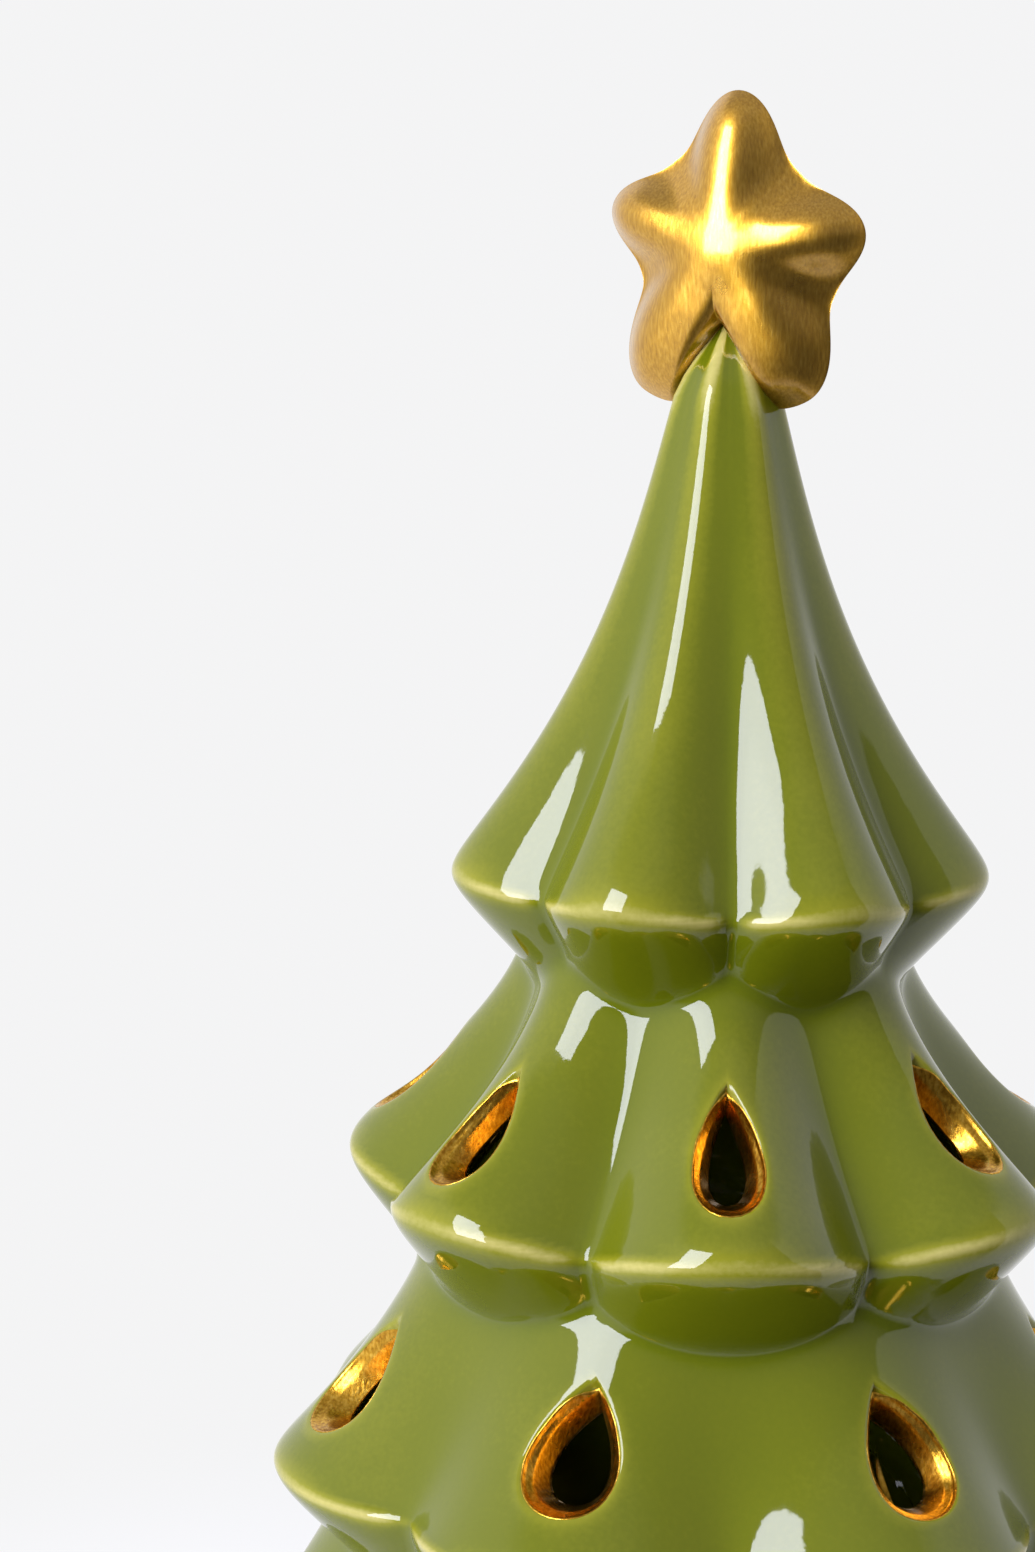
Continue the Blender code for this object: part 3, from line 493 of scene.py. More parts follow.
TIERS = [
    {"turn": 0.0, "top": 166.3, "ridge": 7.4, "valley": 6.9,
     "crest": 113.3, "lobe": 34.8, "notch": 28.1, "dip": 1.1, "rounding": 4.6, "bow": 0.50,
     "power": 2.6, "flute": 2.0, "under_lobe": 1.00, "under_notch": 0.70},
    {"turn": 0.5, "top": 105.6, "ridge": 23.0, "valley": 20.6,
     "crest": 77.2, "lobe": 48.6, "notch": 37.9, "dip": 3.0, "rounding": 7.2, "bow": 0.25,
     "power": 1.8, "flute": 1.5, "under_lobe": 1.00, "under_notch": 0.60,
     "window": (88.1, 8.1, 15.7, -0.8),
     "cuts": [(0, 0, 0), (0.06, 2, 0), (0.02, -4, 1), (-0.04, 2, -1.5),
              (0.03, 4, 0.5), (-0.05, -3, 1.5), (-0.06, -2, 0)]},
    {"turn": 0.0, "top": 69.0, "ridge": 33.4, "valley": 31.8,
     "crest": 41.5, "lobe": 56.5, "notch": 47.0, "dip": 0.3, "rounding": 5.6, "bow": 0.72,
     "power": 3.0, "flute": 1.9, "under_lobe": 1.10, "under_notch": 0.45,
     "window": (54.0, 11.2, 15.7, 2.2),
     "cuts": [(0.02, -5, 0), (-0.01, 12, 0), (-0.04, 4, -1), (0.03, -5, 1.5),
              (-0.02, 5, -1.5), (0.04, -3, 1), (-0.05, -6, 0)]},
    {"turn": 0.5, "top": 34.2, "ridge": 44.4, "valley": 40.4,
     "crest": 9.0, "lobe": 62.6, "notch": 54.2, "dip": 0.5, "rounding": 4.6, "bow": 0.72,
     "power": 3.0, "flute": 1.3, "under_lobe": 1.10, "under_notch": 0.45,
     "window": (21.4, 12.0, 15.6, -3.0),
     "cuts": [(0.02, 3, 0.5), (-0.04, -4, -1), (0.05, 2, 1), (0, -2, -3.5),
              (-0.05, 5, 4.5), (0.03, -5, -1), (-0.01, 2, 1)]},
]


def soft_lower(first, second, width):
    """The smaller of two values: half of their sum less the root of both squares, of their
    difference and of the width."""
    return 0.5 * (first + second - np.sqrt((first - second) ** 2 + width ** 2))


def soft_upper(first, second, width):
    """The larger of two values: half of their sum plus that root."""
    return -soft_lower(-first, -second, width)


def lobe_share(angle, turn, sharpness, softness=NOTCH_SOFTNESS):
    """1 on a lobe's middle and 0 in a notch: the cosine of half the lobe angle, to a power.

    Softness rounds the notch: the larger it is, the nearer the wave comes to a plain sine.
    """
    half_wave = np.cos(0.5 * LOBES * (angle - turn * LOBE_STEP))
    soft_wave = np.sqrt(half_wave ** 2 + softness ** 2) - softness
    full_wave = np.sqrt(1 + softness ** 2) - softness
    return np.clip(soft_wave / full_wave, 0, 1) ** sharpness


def tier_radius(tier, angle, height, inset):
    """Radius of one tier: the softer of a bowed flank and an underside that closes below it.

    The flank goes from the tier's top to its crest as bow * u + (1 - bow) * u ** power. Its
    flutes deepen as u to the power flute, and its notches dip below the lobes' crest.
    """
    share = lobe_share(angle, tier["turn"], CREST_SHARPNESS)
    fall = (tier["top"] - height) / (tier["top"] - tier["crest"])
    height = height + tier["dip"] * (1 - share) * np.clip(fall, 0, 1)
    fall = (tier["top"] - height) / (tier["top"] - tier["crest"])
    bend = tier["bow"] * fall + (1 - tier["bow"]) * np.clip(fall, 0, None) ** tier["power"]
    ridge = tier["ridge"] + (tier["lobe"] - tier["ridge"]) * bend
    flute = tier["ridge"] - tier["valley"]
    deepening = np.clip(fall, 0, None) ** tier["flute"]
    valley = ridge - flute - (tier["lobe"] - tier["notch"] - flute) * deepening
    rise = 1 - np.clip(fall, 0, 1)
    sharpness = CREST_SHARPNESS + (FLUTE_SHARPNESS - CREST_SHARPNESS) * rise
    softness = NOTCH_SOFTNESS + FLUTE_SOFTNESS * rise ** FLUTE_FADE
    flank = valley + (ridge - valley) * lobe_share(angle, tier["turn"], sharpness, softness)
    slope = (tier["lobe"] - tier["ridge"]) / (tier["top"] - tier["crest"])
    flank = flank - inset * math.hypot(1.0, slope)
    if tier is not TIERS[0]:
        flank = flank - HIDDEN_CLOSING * np.clip(height - tier["top"], 0, None)
    drop = tier["crest"] - height
    notch_under = tier["notch"] - tier["under_notch"] * drop
    lobe_under = np.maximum(tier["lobe"] - tier["under_lobe"] * drop, notch_under)
    under = notch_under + (lobe_under - notch_under) * share
    under = under - inset * math.hypot(1.0, tier["under_lobe"])
    return soft_lower(flank, under, NOTCH_ROUNDING + (tier["rounding"] - NOTCH_ROUNDING) * share)


def dome_share(height, top, depth):
    """1 below a dome, then the quarter ellipse that brings a radius to 0 at its top."""
    rise = np.clip((height - (top - depth)) / depth, 0, 1)
    return np.sqrt(np.clip(1 - rise ** 2, 0, 1))


def spire_share(height):
    """1 up to the spire's point, then 1 - rise ** 1.6 to the power 0.8, a blunt cone."""
    rise = np.clip((height - (SPIRE_TOP - SPIRE_DOME)) / SPIRE_DOME, 0, 1)
    return (1 - rise ** 1.6) ** 0.8


def laid_over(angle, height, inset):
    """Radius of the tiers laid over each other with soft waists, all of them moved in."""
    radius = tier_radius(TIERS[0], angle, height, inset)
    for tier in TIERS[1:]:
        radius = soft_upper(radius, tier_radius(tier, angle, height, inset), WAIST_ROUNDING)
    return radius


def outer_radius(angle, height):
    """Radius of the outside: the tiers and the spire, with a rounded foot."""
    low = np.clip(1.0 - height, 0, 1)
    radius = laid_over(angle, height, 0.0) - (1 - np.sqrt(1 - low ** 2)) * FOOT_ROUNDING
    return radius * spire_share(height)


def inner_radius(angle, height):
    """Radius of the inside: the same form moved in by the wall, bored out at the foot."""
    radius = laid_over(angle, height, WALL)
    radius = np.where(height < FOOT_WIDTH, np.maximum(radius, FOOT_BORE), radius)
    return radius * dome_share(height, CAVITY_TOP, CAVITY_DOME)


def round_axis(radius, angle, height):
    """Points in millimetres from a radius, an angle from the front and a height above the foot."""
    radius, angle, height = np.broadcast_arrays(radius, angle, height)
    return np.stack((radius * np.sin(angle), -radius * np.cos(angle), height + TREE_FOOT), -1)


# Grid of the outside: columns go round, rows go up, and the rows beside each window are even
COLUMNS = 32 * LOBES
PATCH_HALF = 8
PATCH_ROWS = 24
PATCH_BELOW = 8.5
PATCH_ABOVE = 9.5
WINDOW_TIERS = TIERS[:0:-1]


def rows_between_windows(spacing, upper_spacing, dome_rows, top, dome, patch_rows):
    """Heights of all rows, and the row where each window's patch starts."""
    heights, starts = [0.0], []

    def climb(goal, spacing):
        count = math.ceil((goal - heights[-1]) / spacing)
        heights.extend(np.linspace(heights[-1], goal, count + 1)[1:])

    for tier in WINDOW_TIERS:
        low = tier["window"][0] - PATCH_BELOW
        climb(low, spacing)
        starts.append(len(heights) - 1)
        heights.extend(np.linspace(low, tier["window"][0] + PATCH_ABOVE, patch_rows + 1)[1:])
    climb(TIERS[0]["crest"] + 5.0, spacing)
    climb(top - dome, upper_spacing)
    heights.extend(top - dome + dome * np.sin(np.linspace(0, 0.5 * np.pi, dome_rows + 1)[1:]))
    return np.array(heights), starts


angles = around(COLUMNS)
heights, patch_starts = rows_between_windows(0.5, 0.95, 6, SPIRE_TOP, SPIRE_DOME, PATCH_ROWS)
outer = round_axis(outer_radius(angles[None], heights[:, None]), angles[None], heights[:, None])


def curvature(grid):
    """How convex the outside is, for each millimetre: the turn of the normal along each way."""
    along = np.roll(grid, -1, axis=1) - np.roll(grid, 1, axis=1)
    up = np.gradient(grid, axis=0) * 2
    normal = np.cross(along, up)
    normal /= np.linalg.norm(normal, axis=-1, keepdims=True) + 1e-9
    turn_along = np.roll(normal, -1, axis=1) - np.roll(normal, 1, axis=1)
    turn_up = np.gradient(normal, axis=0) * 2
    return ((turn_along * along).sum(-1) / ((along ** 2).sum(-1) + 1e-6)
            + (turn_up * up).sum(-1) / ((up ** 2).sum(-1) + 1e-6))


def blurred(values, rounds):
    """Each value is moved half way to the mean of its four neighbours, several times over."""
    for _ in range(rounds):
        beside = 0.5 * (np.roll(values, 1, axis=1) + np.roll(values, -1, axis=1))
        padded = np.pad(values, ((1, 1), (0, 0)), mode="edge")
        values = 0.5 * values + 0.25 * beside + 0.125 * (padded[:-2] + padded[2:])
    return values


EVEN_FILM = 0.52
THINNING = 0.78
THIN_FROM = 0.07
POOLING = 0.4

bend = curvature(outer)
crest_line = blurred(np.clip(bend, 0, 0.9), 3)
hollow_line = blurred(np.clip(-bend, 0, 0.6), 5)
film_and_shade = (EVEN_FILM + THINNING * np.clip(crest_line - THIN_FROM, 0, 0.5)
        - POOLING * np.clip(hollow_line, 0, 0.35))
# Painted shade: under each tier, where the outside faces down, the film is lowered so the glaze
# there is coloured darker.
slant = np.gradient(np.hypot(outer[..., 0], outer[..., 1]), axis=0) / np.gradient(heights)[:, None]
film_and_shade -= 0.08 * blurred(np.clip(slant, 0, 1), 2)

# Outline of a window: a teardrop with its point up, flaring outwards along an axis that rises
WINDOW_TILT = math.radians(35.0)
WINDOW_TAPER = 2.2
DROP_WIDEST = 0.7698
LIP = 0.8
LIP_STEPS = (0.8, 0.55, 0.3, 0.12, 0.0)
FAR_STEPS = (0.8, 0.62, 0.46, 0.32, 0.20, 0.10)
TUNNEL_ROWS = 7

# Row and column steps from a window's middle column to each point of its patch's edge
dr = np.concatenate((
    np.full(PATCH_HALF, PATCH_ROWS), np.arange(PATCH_ROWS, 0, -1),
    np.zeros(2 * PATCH_HALF), np.arange(PATCH_ROWS),
    np.full(PATCH_HALF, PATCH_ROWS))).astype(int)
dc = np.concatenate((
    np.arange(PATCH_HALF), np.full(PATCH_ROWS, PATCH_HALF),
    np.arange(PATCH_HALF, -PATCH_HALF, -1), np.full(PATCH_ROWS, -PATCH_HALF),
    np.arange(-PATCH_HALF, 0))).astype(int)
PATCH_POINTS = len(dr)


def window_frame(tier, lobe):
    """Middle, axis, across and up directions of one window."""
    height, _, length, turn = tier["window"]
    rise_share, lean, own_turn = tier["cuts"][lobe]
    height += rise_share * length
    angle = (lobe + tier["turn"]) * LOBE_STEP + math.radians(turn + own_turn)
    level = np.array([math.sin(angle), -math.cos(angle), 0.0])
    rise = np.array([0.0, 0.0, 1.0])
    outward = level * math.cos(WINDOW_TILT) + rise * math.sin(WINDOW_TILT)
    upward = rise * math.cos(WINDOW_TILT) - level * math.sin(WINDOW_TILT)
    lean = math.radians(lean)
    upward = upward * math.cos(lean) + np.cross(outward, upward) * math.sin(lean)
    seat = float(outer_radius(np.array([angle]), np.array([height]))[0])
    middle = level * seat + rise * (height + TREE_FOOT)
    return angle, middle, outward, np.cross(upward, outward), upward


def drop(steps, width, length):
    """Teardrop outline: x = sin(t) * sin(t / 2) and y = cos(t), brought to its size."""
    across = np.sin(steps) * np.sin(0.5 * steps) * width / (2 * DROP_WIDEST)
    return across, 0.5 * length * np.cos(steps)


def drop_shares(tier):
    """The teardrop's own step for each patch point: where its direction from the middle is the
    direction of the patch's edge."""
    _, width, length, _ = tier["window"]
    steps = np.linspace(0, 2 * np.pi, 4001)
    x, y = drop(steps, width, length)
    turn = np.unwrap(np.arctan2(x[1:-1], y[1:-1]))
    cell = (PATCH_BELOW + PATCH_ABOVE) / PATCH_ROWS
    middle_row = PATCH_BELOW / cell
    goal = np.unwrap(np.arctan2(dc * 1.1, (dr - middle_row) * cell))
    goal[0] = 0.0
    return np.interp(goal, turn, steps[1:-1])


def in_tunnel(place, tier, steps, offset):
    """Points of a window's wall: the teardrop at an offset along its axis, outwards positive."""
    _, middle, outward, across, upward = place
    _, width, length, _ = tier["window"]
    widening = 2 * WINDOW_TAPER * offset / WALL
    x, y = drop(steps, np.maximum(width + widening, 0.8), np.maximum(length + widening, 1.6))
    return middle + outward * offset[..., None] + across * x[..., None] + upward * y[..., None]


def meet(place, tier, steps, surface):
    """Offsets at which a window's wall meets a surface, closed in on by repeated correction."""
    offset = np.zeros_like(steps)
    for _ in range(40):
        point = in_tunnel(place, tier, steps, offset)
        angle = np.arctan2(point[..., 0], -point[..., 1])
        gap = np.hypot(point[..., 0], point[..., 1]) - surface(angle, point[..., 2] - TREE_FOOT)
        offset = offset - 0.6 * gap
    return offset


def near(angle, middle):
    """Angle brought to within half a turn of the middle."""
    return middle + (angle - middle + np.pi) % (2 * np.pi) - np.pi


def sampled(values, angle, height):
    """Value of a grid at any angle and height, between its rows and columns."""
    row = np.interp(height, heights, np.arange(len(heights)))
    column = (angle % (2 * np.pi)) * COLUMNS / (2 * np.pi)
    r0, c0 = np.floor(row).astype(int), np.floor(column).astype(int)
    r1, c1 = np.minimum(r0 + 1, len(heights) - 1), (c0 + 1) % COLUMNS
    fr, fc = row - r0, column - c0
    c0 = c0 % COLUMNS
    low = values[r0, c0] * (1 - fc) + values[r0, c1] * fc
    high = values[r1, c0] * (1 - fc) + values[r1, c1] * fc
    return low * (1 - fr) + high * fr


inner_columns = COLUMNS // 2
inner_angles = around(inner_columns)
inner_heights, inner_starts = rows_between_windows(1.4, 2.4, 5, CAVITY_TOP, CAVITY_DOME,
                                                   PATCH_ROWS // 2)
inner_heights[1:3] = FOOT_WIDTH * 0.5, FOOT_WIDTH
inner = round_axis(inner_radius(inner_angles[None], inner_heights[:, None]),
                   inner_angles[None], inner_heights[:, None])
inner[0] = round_axis(FOOT_BORE, inner_angles, 0.0)

outer_index = np.arange(outer[:-1].size // 3).reshape(-1, COLUMNS)
start = outer_index.size
inner_index = start + np.arange(inner[:-1].size // 3).reshape(-1, inner_columns)
tips = start + inner_index.size
shell_points = [outer[:-1].reshape(-1, 3), inner[:-1].reshape(-1, 3),
                np.array([[0, 0, SPIRE_TOP + TREE_FOOT], [0, 0, CAVITY_TOP + TREE_FOOT]])]
shell_film_and_shade = [film_and_shade[:-1].ravel(), np.full(inner_index.size, 0.40), np.full(2, 0.40)]
shell_bare = [np.repeat(np.clip((0.7 - heights[:-1]) / 0.4, 0, 1), COLUMNS),
              np.repeat(np.clip((1.2 - inner_heights[:-1]) / 0.4, 0, 1), inner_columns), np.zeros(2)]
next_index = tips + 2
keep_outer = np.ones((len(heights) - 2, COLUMNS), dtype=bool)
keep_inner = np.ones((len(inner_heights) - 2, inner_columns), dtype=bool)
shell_faces = []
gilt_walls = []


def strip(first, second):
    """Quads from one closed loop of points to the next."""
    return np.stack((first, second, np.roll(second, -1), np.roll(first, -1)), -1)


def halving_strip(first, second):
    """Triangles from a loop to one with half as many points."""
    here, between, after = first[0::2], first[1::2], np.roll(first[0::2], -1)
    beyond = np.roll(second, -1)
    return np.concatenate([np.stack(corners, -1) for corners in (
        (here, second, between), (between, second, beyond), (between, beyond, after))])


for tier, first_row, inner_row in zip(WINDOW_TIERS, patch_starts, inner_starts):
    steps = drop_shares(tier)
    for lobe in range(LOBES):
        place = window_frame(tier, lobe)
        ridge_angle = (lobe + tier["turn"]) * LOBE_STEP
        column = round(ridge_angle * COLUMNS / (2 * math.pi))
        patch_columns = (column + np.arange(-PATCH_HALF, PATCH_HALF)) % COLUMNS
        keep_outer[first_row:first_row + PATCH_ROWS, patch_columns] = False
        edge = outer_index[first_row + dr, (column + dc) % COLUMNS]
        edge_angle = ridge_angle + dc * 2 * np.pi / COLUMNS
        edge_height = heights[first_row + dr]

        mouth = meet(place, tier, steps, outer_radius)
        mouth_point = in_tunnel(place, tier, steps, mouth)
        mouth_angle = near(np.arctan2(mouth_point[:, 0], -mouth_point[:, 1]), place[0])
        mouth_height = mouth_point[:, 2] - TREE_FOOT
        seat = np.hypot(mouth_point[:, 0], mouth_point[:, 1]).mean()
        way = np.stack(((edge_angle - mouth_angle) * seat, edge_height - mouth_height), -1)
        reach = np.linalg.norm(way, axis=-1)
        distances = [LIP + (reach - LIP) * share for share in FAR_STEPS]
        distances += [np.full(PATCH_POINTS, step) for step in LIP_STEPS]
        loops, films_and_shade = [], []
        for distance in distances:
            share = distance / reach
            angle = mouth_angle + (edge_angle - mouth_angle) * share
            height = mouth_height + (edge_height - mouth_height) * share
            point = round_axis(outer_radius(angle, height), angle, height)
            roll = np.clip(1 - distance / LIP, 0, 1)
            sink = LIP * (1 - np.sqrt(1 - roll ** 2))
            loops.append(point - place[2] * sink[:, None])
            films_and_shade.append(sampled(film_and_shade, angle, height) + 0.20 * np.exp(-(distance / 1.1) ** 2))
        back = meet(place, tier, steps, inner_radius)
        for share in (np.arange(TUNNEL_ROWS) + 1) / TUNNEL_ROWS:
            offset = (mouth - LIP) * (1 - share) + back * share
            loops.append(in_tunnel(place, tier, steps, offset))
            films_and_shade.append(np.full(PATCH_POINTS, 0.5))
        gilt_walls.append(np.array(loops[-TUNNEL_ROWS - 4:]))
        index = next_index + np.arange(len(loops) * PATCH_POINTS).reshape(len(loops), PATCH_POINTS)
        next_index += index.size
        shell_points.append(np.concatenate(loops))
        shell_film_and_shade.append(np.concatenate(films_and_shade))
        shell_bare.append(np.zeros(index.size))
        shell_faces += [strip(a, b) for a, b in zip([edge, *index[:-1]], index)]

        inner_column = column // 2
        half_dr, half_dc = dr[0::2] // 2, np.round(dc[0::2] / 2 + 1e-3).astype(int)
        width_in = half_dc.max()
        patch_columns = (inner_column + np.arange(-width_in, width_in)) % inner_columns
        keep_inner[inner_row:inner_row + PATCH_ROWS // 2, patch_columns] = False
        inner_edge = inner_index[inner_row + half_dr, (inner_column + half_dc) % inner_columns]
        shell_faces.append(halving_strip(index[-1], inner_edge))

inner_quads = np.stack((np.roll(inner_index[:-1], -1, axis=1), inner_index[:-1],
                        inner_index[1:], np.roll(inner_index[1:], -1, axis=1)), -1)
shell_faces += [quads(outer_index[:-1], outer_index[1:])[keep_outer.ravel()],
                inner_quads[keep_inner], fan(outer_index[-1], tips),
                fan(inner_index[-1][::-1], tips + 1),
                halving_strip(outer_index[0], inner_index[0])]

add_piece("tree_glaze", np.concatenate(shell_points), shell_faces,
          glaze_material("olive_glaze"), "tree", "olive_glaze", ["tree_shell"],
          {"film_and_shade": np.concatenate(shell_film_and_shade), "bare": np.concatenate(shell_bare)})


# The window walls are brushed with a bright gold lustre and fired again. The coat starts on the
# rounded lip, stays out of the narrow point above the drop, and its grain shows the brush.
GILT_PROUD = 0.05
GILT_DEEP = 0.10
GOLD_SHADE = (0.34, 0.155, 0.010)
GOLD_BODY = (0.58, 0.305, 0.026)
GOLD_PALE = (0.82, 0.50, 0.08)


def gold_material(name, scale, stretch, turn, contrast, rough, wave, grain, coat):
    """Satin gold lustre: metal whose tone, sheen and fine strokes vary with the brushing.

    Scale, stretch and turn place the strokes, and wave and grain are heights in millimetres.
    """
    material, nodes, shader = new_material(name, Metallic=1.0, Coat_Weight=coat,
                                           Coat_Roughness=0.12)
    strokes = noise(nodes, scale, 4.0, stretch, turn)
    patches, grit = noise(nodes, 140.0, 3.0), noise(nodes, 5200.0)
    stops = [(0.5 - contrast, GOLD_SHADE), (0.5, GOLD_BODY), (0.5 + contrast, GOLD_PALE)]
    feed(shader, Base_Color=ramp(nodes, strokes["Value"], stops),
         Roughness=mapped(nodes, patches["Value"], (0.3, 0.7), rough))
    bumps(nodes, shader, [(patches["Height"], wave, 0.5), (strokes["Height"], grain, 0.8),
                          (grit["Height"], 0.012, 0.8)])
    return material


def coat(wall):
    """Closed ring over a window's wall: a face just proud of the ceramic and a back inside it.

    The front starts between the lip's rows, deeper at the point of the drop than at its sides.
    """
    along = np.roll(wall, -1, axis=1) - np.roll(wall, 1, axis=1)
    inwards = np.gradient(wall, axis=0)
    normal = np.cross(inwards, along)
    normal /= np.linalg.norm(normal, axis=-1, keepdims=True) + 1e-9
    count = PATCH_POINTS
    turn = np.minimum(np.arange(count), count - np.arange(count)) / count
    first = 0.9 + 2.6 * np.exp(-(turn / 0.035) ** 2)
    first = first + 0.22 * np.sin(np.arange(count) * 2 * np.pi * 5 / count + wall[0, 0, 0])
    last = len(wall) - 1.0
    rows = first + (last - first) * np.linspace(0, 1, len(wall) + 2)[:, None]
    low = np.minimum(np.floor(rows).astype(int), len(wall) - 2)
    part = (rows - low)[..., None]
    columns = np.broadcast_to(np.arange(count), rows.shape)
    place = wall[low, columns] * (1 - part) + wall[low + 1, columns] * part
    facing = normal[low, columns] * (1 - part) + normal[low + 1, columns] * part
    return np.concatenate((place + facing * GILT_PROUD, (place - facing * GILT_DEEP)[::-1]))


gilt_points, gilt_faces, gilt_start = [], [], 0
for wall in gilt_walls:
    ring = coat(wall)
    index = gilt_start + np.arange(ring.shape[0] * PATCH_POINTS).reshape(-1, PATCH_POINTS)
    gilt_start += index.size
    gilt_points.append(ring.reshape(-1, 3))
    gilt_faces += [strip(a, b) for a, b in zip(index, np.roll(index, -1, axis=0))]
window_gold = gold_material(
    "window_gilding", scale=2600.0, stretch=(1.0, 1.0, 0.5), turn=(0, 0, 0), contrast=0.22,
    rough=(0.20, 0.34), wave=0.08, grain=0.03, coat=0.15)
add_piece("window_gilding", np.concatenate(gilt_points), gilt_faces, window_gold, "tree",
          "satin_gilding")


# The star is a small puffed casting, luted over the spire and brushed all over with the same
# gold. Each arm has a soft ridge, with hollows between the arms, and the two lower arms straddle
# the spire. An arm is (degrees clockwise from up, reach, pinch), a notch is (degrees, reach).
STAR_HEIGHT = SPIRE_TOP + 7.9 + TREE_FOOT
STAR_DEPTH = 5.8
STAR_ARMS = [(2.0, 18.2, 1.4), (83.0, 16.8, 1.4), (150.0, 20.2, 1.0), (212.0, 20.0, 1.0),
             (288.0, 15.9, 1.4)]
STAR_NOTCHES = [(43.0, 12.2), (114.0, 14.1), (181.0, 18.6), (252.0, 11.7), (324.0, 12.3)]
FORK_DEPTH = 8.4
FORK_HALF_ANGLE = 32.0
FORK_ROUNDING = 1.2
MIDDLE_REACH = 9.0
MIDDLE_PUFF = 15.0
MIDDLE_RIDGE = 0.55
RIDGE_DROP = 0.50
RIDGE_ROUNDING = 0.02
STAR_STEPS = 28
STAR_RINGS = 48


def star_outline(angle):
    """Reach, puff reach and swell of the star's edge at an angle in degrees.

    Swell is 1 on an arm and 0 in a notch, eased by a cosine. Between the lower arms the puffed
    body goes on, and a straight-sided fork is cut into it that the spire fills.
    """
    spread = len(STAR_ARMS)
    for place in range(2 * spread):
        arm = STAR_ARMS[(place + 1) // 2 % spread]
        notch = STAR_NOTCHES[place // 2]
        arm_angle = arm[0] + (360.0 if arm[0] < notch[0] and place % 2 else 0.0)
        low, high = sorted((arm_angle, notch[0]))
        if low <= angle <= high:
            swell = (0.5 + 0.5 * math.cos(math.pi * (angle - arm_angle) / (high - low))) ** arm[2]
            puff = notch[1] + (arm[1] - notch[1]) * swell
            if notch is not STAR_NOTCHES[2]:
                return puff, puff, swell
            side = math.radians(max(FORK_HALF_ANGLE - abs(angle - notch[0]), 2.0))
            edge = FORK_DEPTH * math.sin(math.radians(FORK_HALF_ANGLE)) / math.sin(side)
            return float(soft_lower(edge, puff, FORK_ROUNDING)), puff, 1.0
    raise ValueError(angle)


star_knots = sorted([arm[0] for arm in STAR_ARMS] + [notch[0] for notch in STAR_NOTCHES])
star_knots.append(star_knots[0] + 360.0)
star_angles = np.concatenate([np.linspace(low, high, STAR_STEPS, endpoint=False)
                              for low, high in zip(star_knots, star_knots[1:])])
columns = len(star_angles)
star_reach, star_puff, star_swell = np.array([star_outline(angle) for angle in star_angles]).T
# A ring lies at a share of the outline's reach. An arm falls from the peak as a rounded line and
# a notch as a dome, and within MIDDLE_REACH both ease into one round puff, so the peak is soft
star_share = np.sin(np.linspace(0, 0.5 * np.pi, STAR_RINGS + 1))[1:, None]
middle = np.clip(star_share * star_reach / MIDDLE_REACH, 0, 1)
middle = middle * middle * (3 - 2 * middle)
puff_share = star_share * star_reach * ((1 - middle) / MIDDLE_PUFF + middle / star_puff)
puff_share = np.minimum(puff_share, 1.0)
fall = np.sqrt(puff_share ** 2 + RIDGE_ROUNDING) - RIDGE_ROUNDING ** 0.5
star_ridge = (1 - RIDGE_DROP * fall) * (1 - puff_share ** 9) ** 0.6
star_hollow = (1 - puff_share ** 2) ** 1.15
ridge_part = MIDDLE_RIDGE * (1 - middle) + star_swell * middle
star_bulge = star_hollow + (star_ridge - star_hollow) * ridge_part
star_bulge = STAR_DEPTH * star_bulge * (1 - star_share ** 8) ** 0.5
star_x = np.sin(np.radians(star_angles)) * star_reach * star_share
star_z = np.cos(np.radians(star_angles)) * star_reach * star_share + STAR_HEIGHT
star_front = np.stack((star_x, -star_bulge, star_z), -1)
star_back = np.stack((star_x, star_bulge, star_z), -1)[:-1]
star_points = np.concatenate((star_front.reshape(-1, 3), star_back.reshape(-1, 3),
                              [[0, -STAR_DEPTH, STAR_HEIGHT], [0, STAR_DEPTH, STAR_HEIGHT]]))
front_index = np.arange(star_front.size // 3).reshape(STAR_RINGS, columns)
back_index = front_index.size + np.arange(star_back.size // 3).reshape(-1, columns)
poles = front_index.size + back_index.size
star_faces = [strip(b, a) for a, b in zip(front_index, front_index[1:])]
star_faces += [strip(a, b) for a, b in zip([*back_index], [*back_index[1:], front_index[-1]])]
star_faces += [fan(front_index[0][::-1], poles), fan(back_index[0], poles + 1)]
star_gold = gold_material(
    "star_gilding", scale=3600.0, stretch=(1.0, 1.0, 0.16), turn=(0.0, 0.75, 0.0), contrast=0.42,
    rough=(0.27, 0.38), wave=0.03, grain=0.014, coat=1.0)
add_piece("gilded_star", star_points, star_faces, star_gold, "tree", "satin_gilding",
          ["star_topper"])


# The table is a pale matt board, and the room behind it is as pale. The glaze and the gold mirror
# pale screens at both sides and behind, and a dim front right that is darkest low down. A screen
# ends sharply, which draws the edges of the pale veils on the flanks.
PALE = (0.905, 0.905, 0.91)
BOARD = (0.83, 0.825, 0.805)
BOARD_FADE = (0.07, 0.16)
DIM_FROM = math.radians(-18.0)
DIM_TO = math.radians(94.0)
DIM = (0.11, 0.36)
DIM_RISE = (0.0, 0.5)
SCREEN = 1.08
CEILING = 0.55
CEILING_RISE = (0.68, 0.84)
SMOOTH = "SMOOTHSTEP"

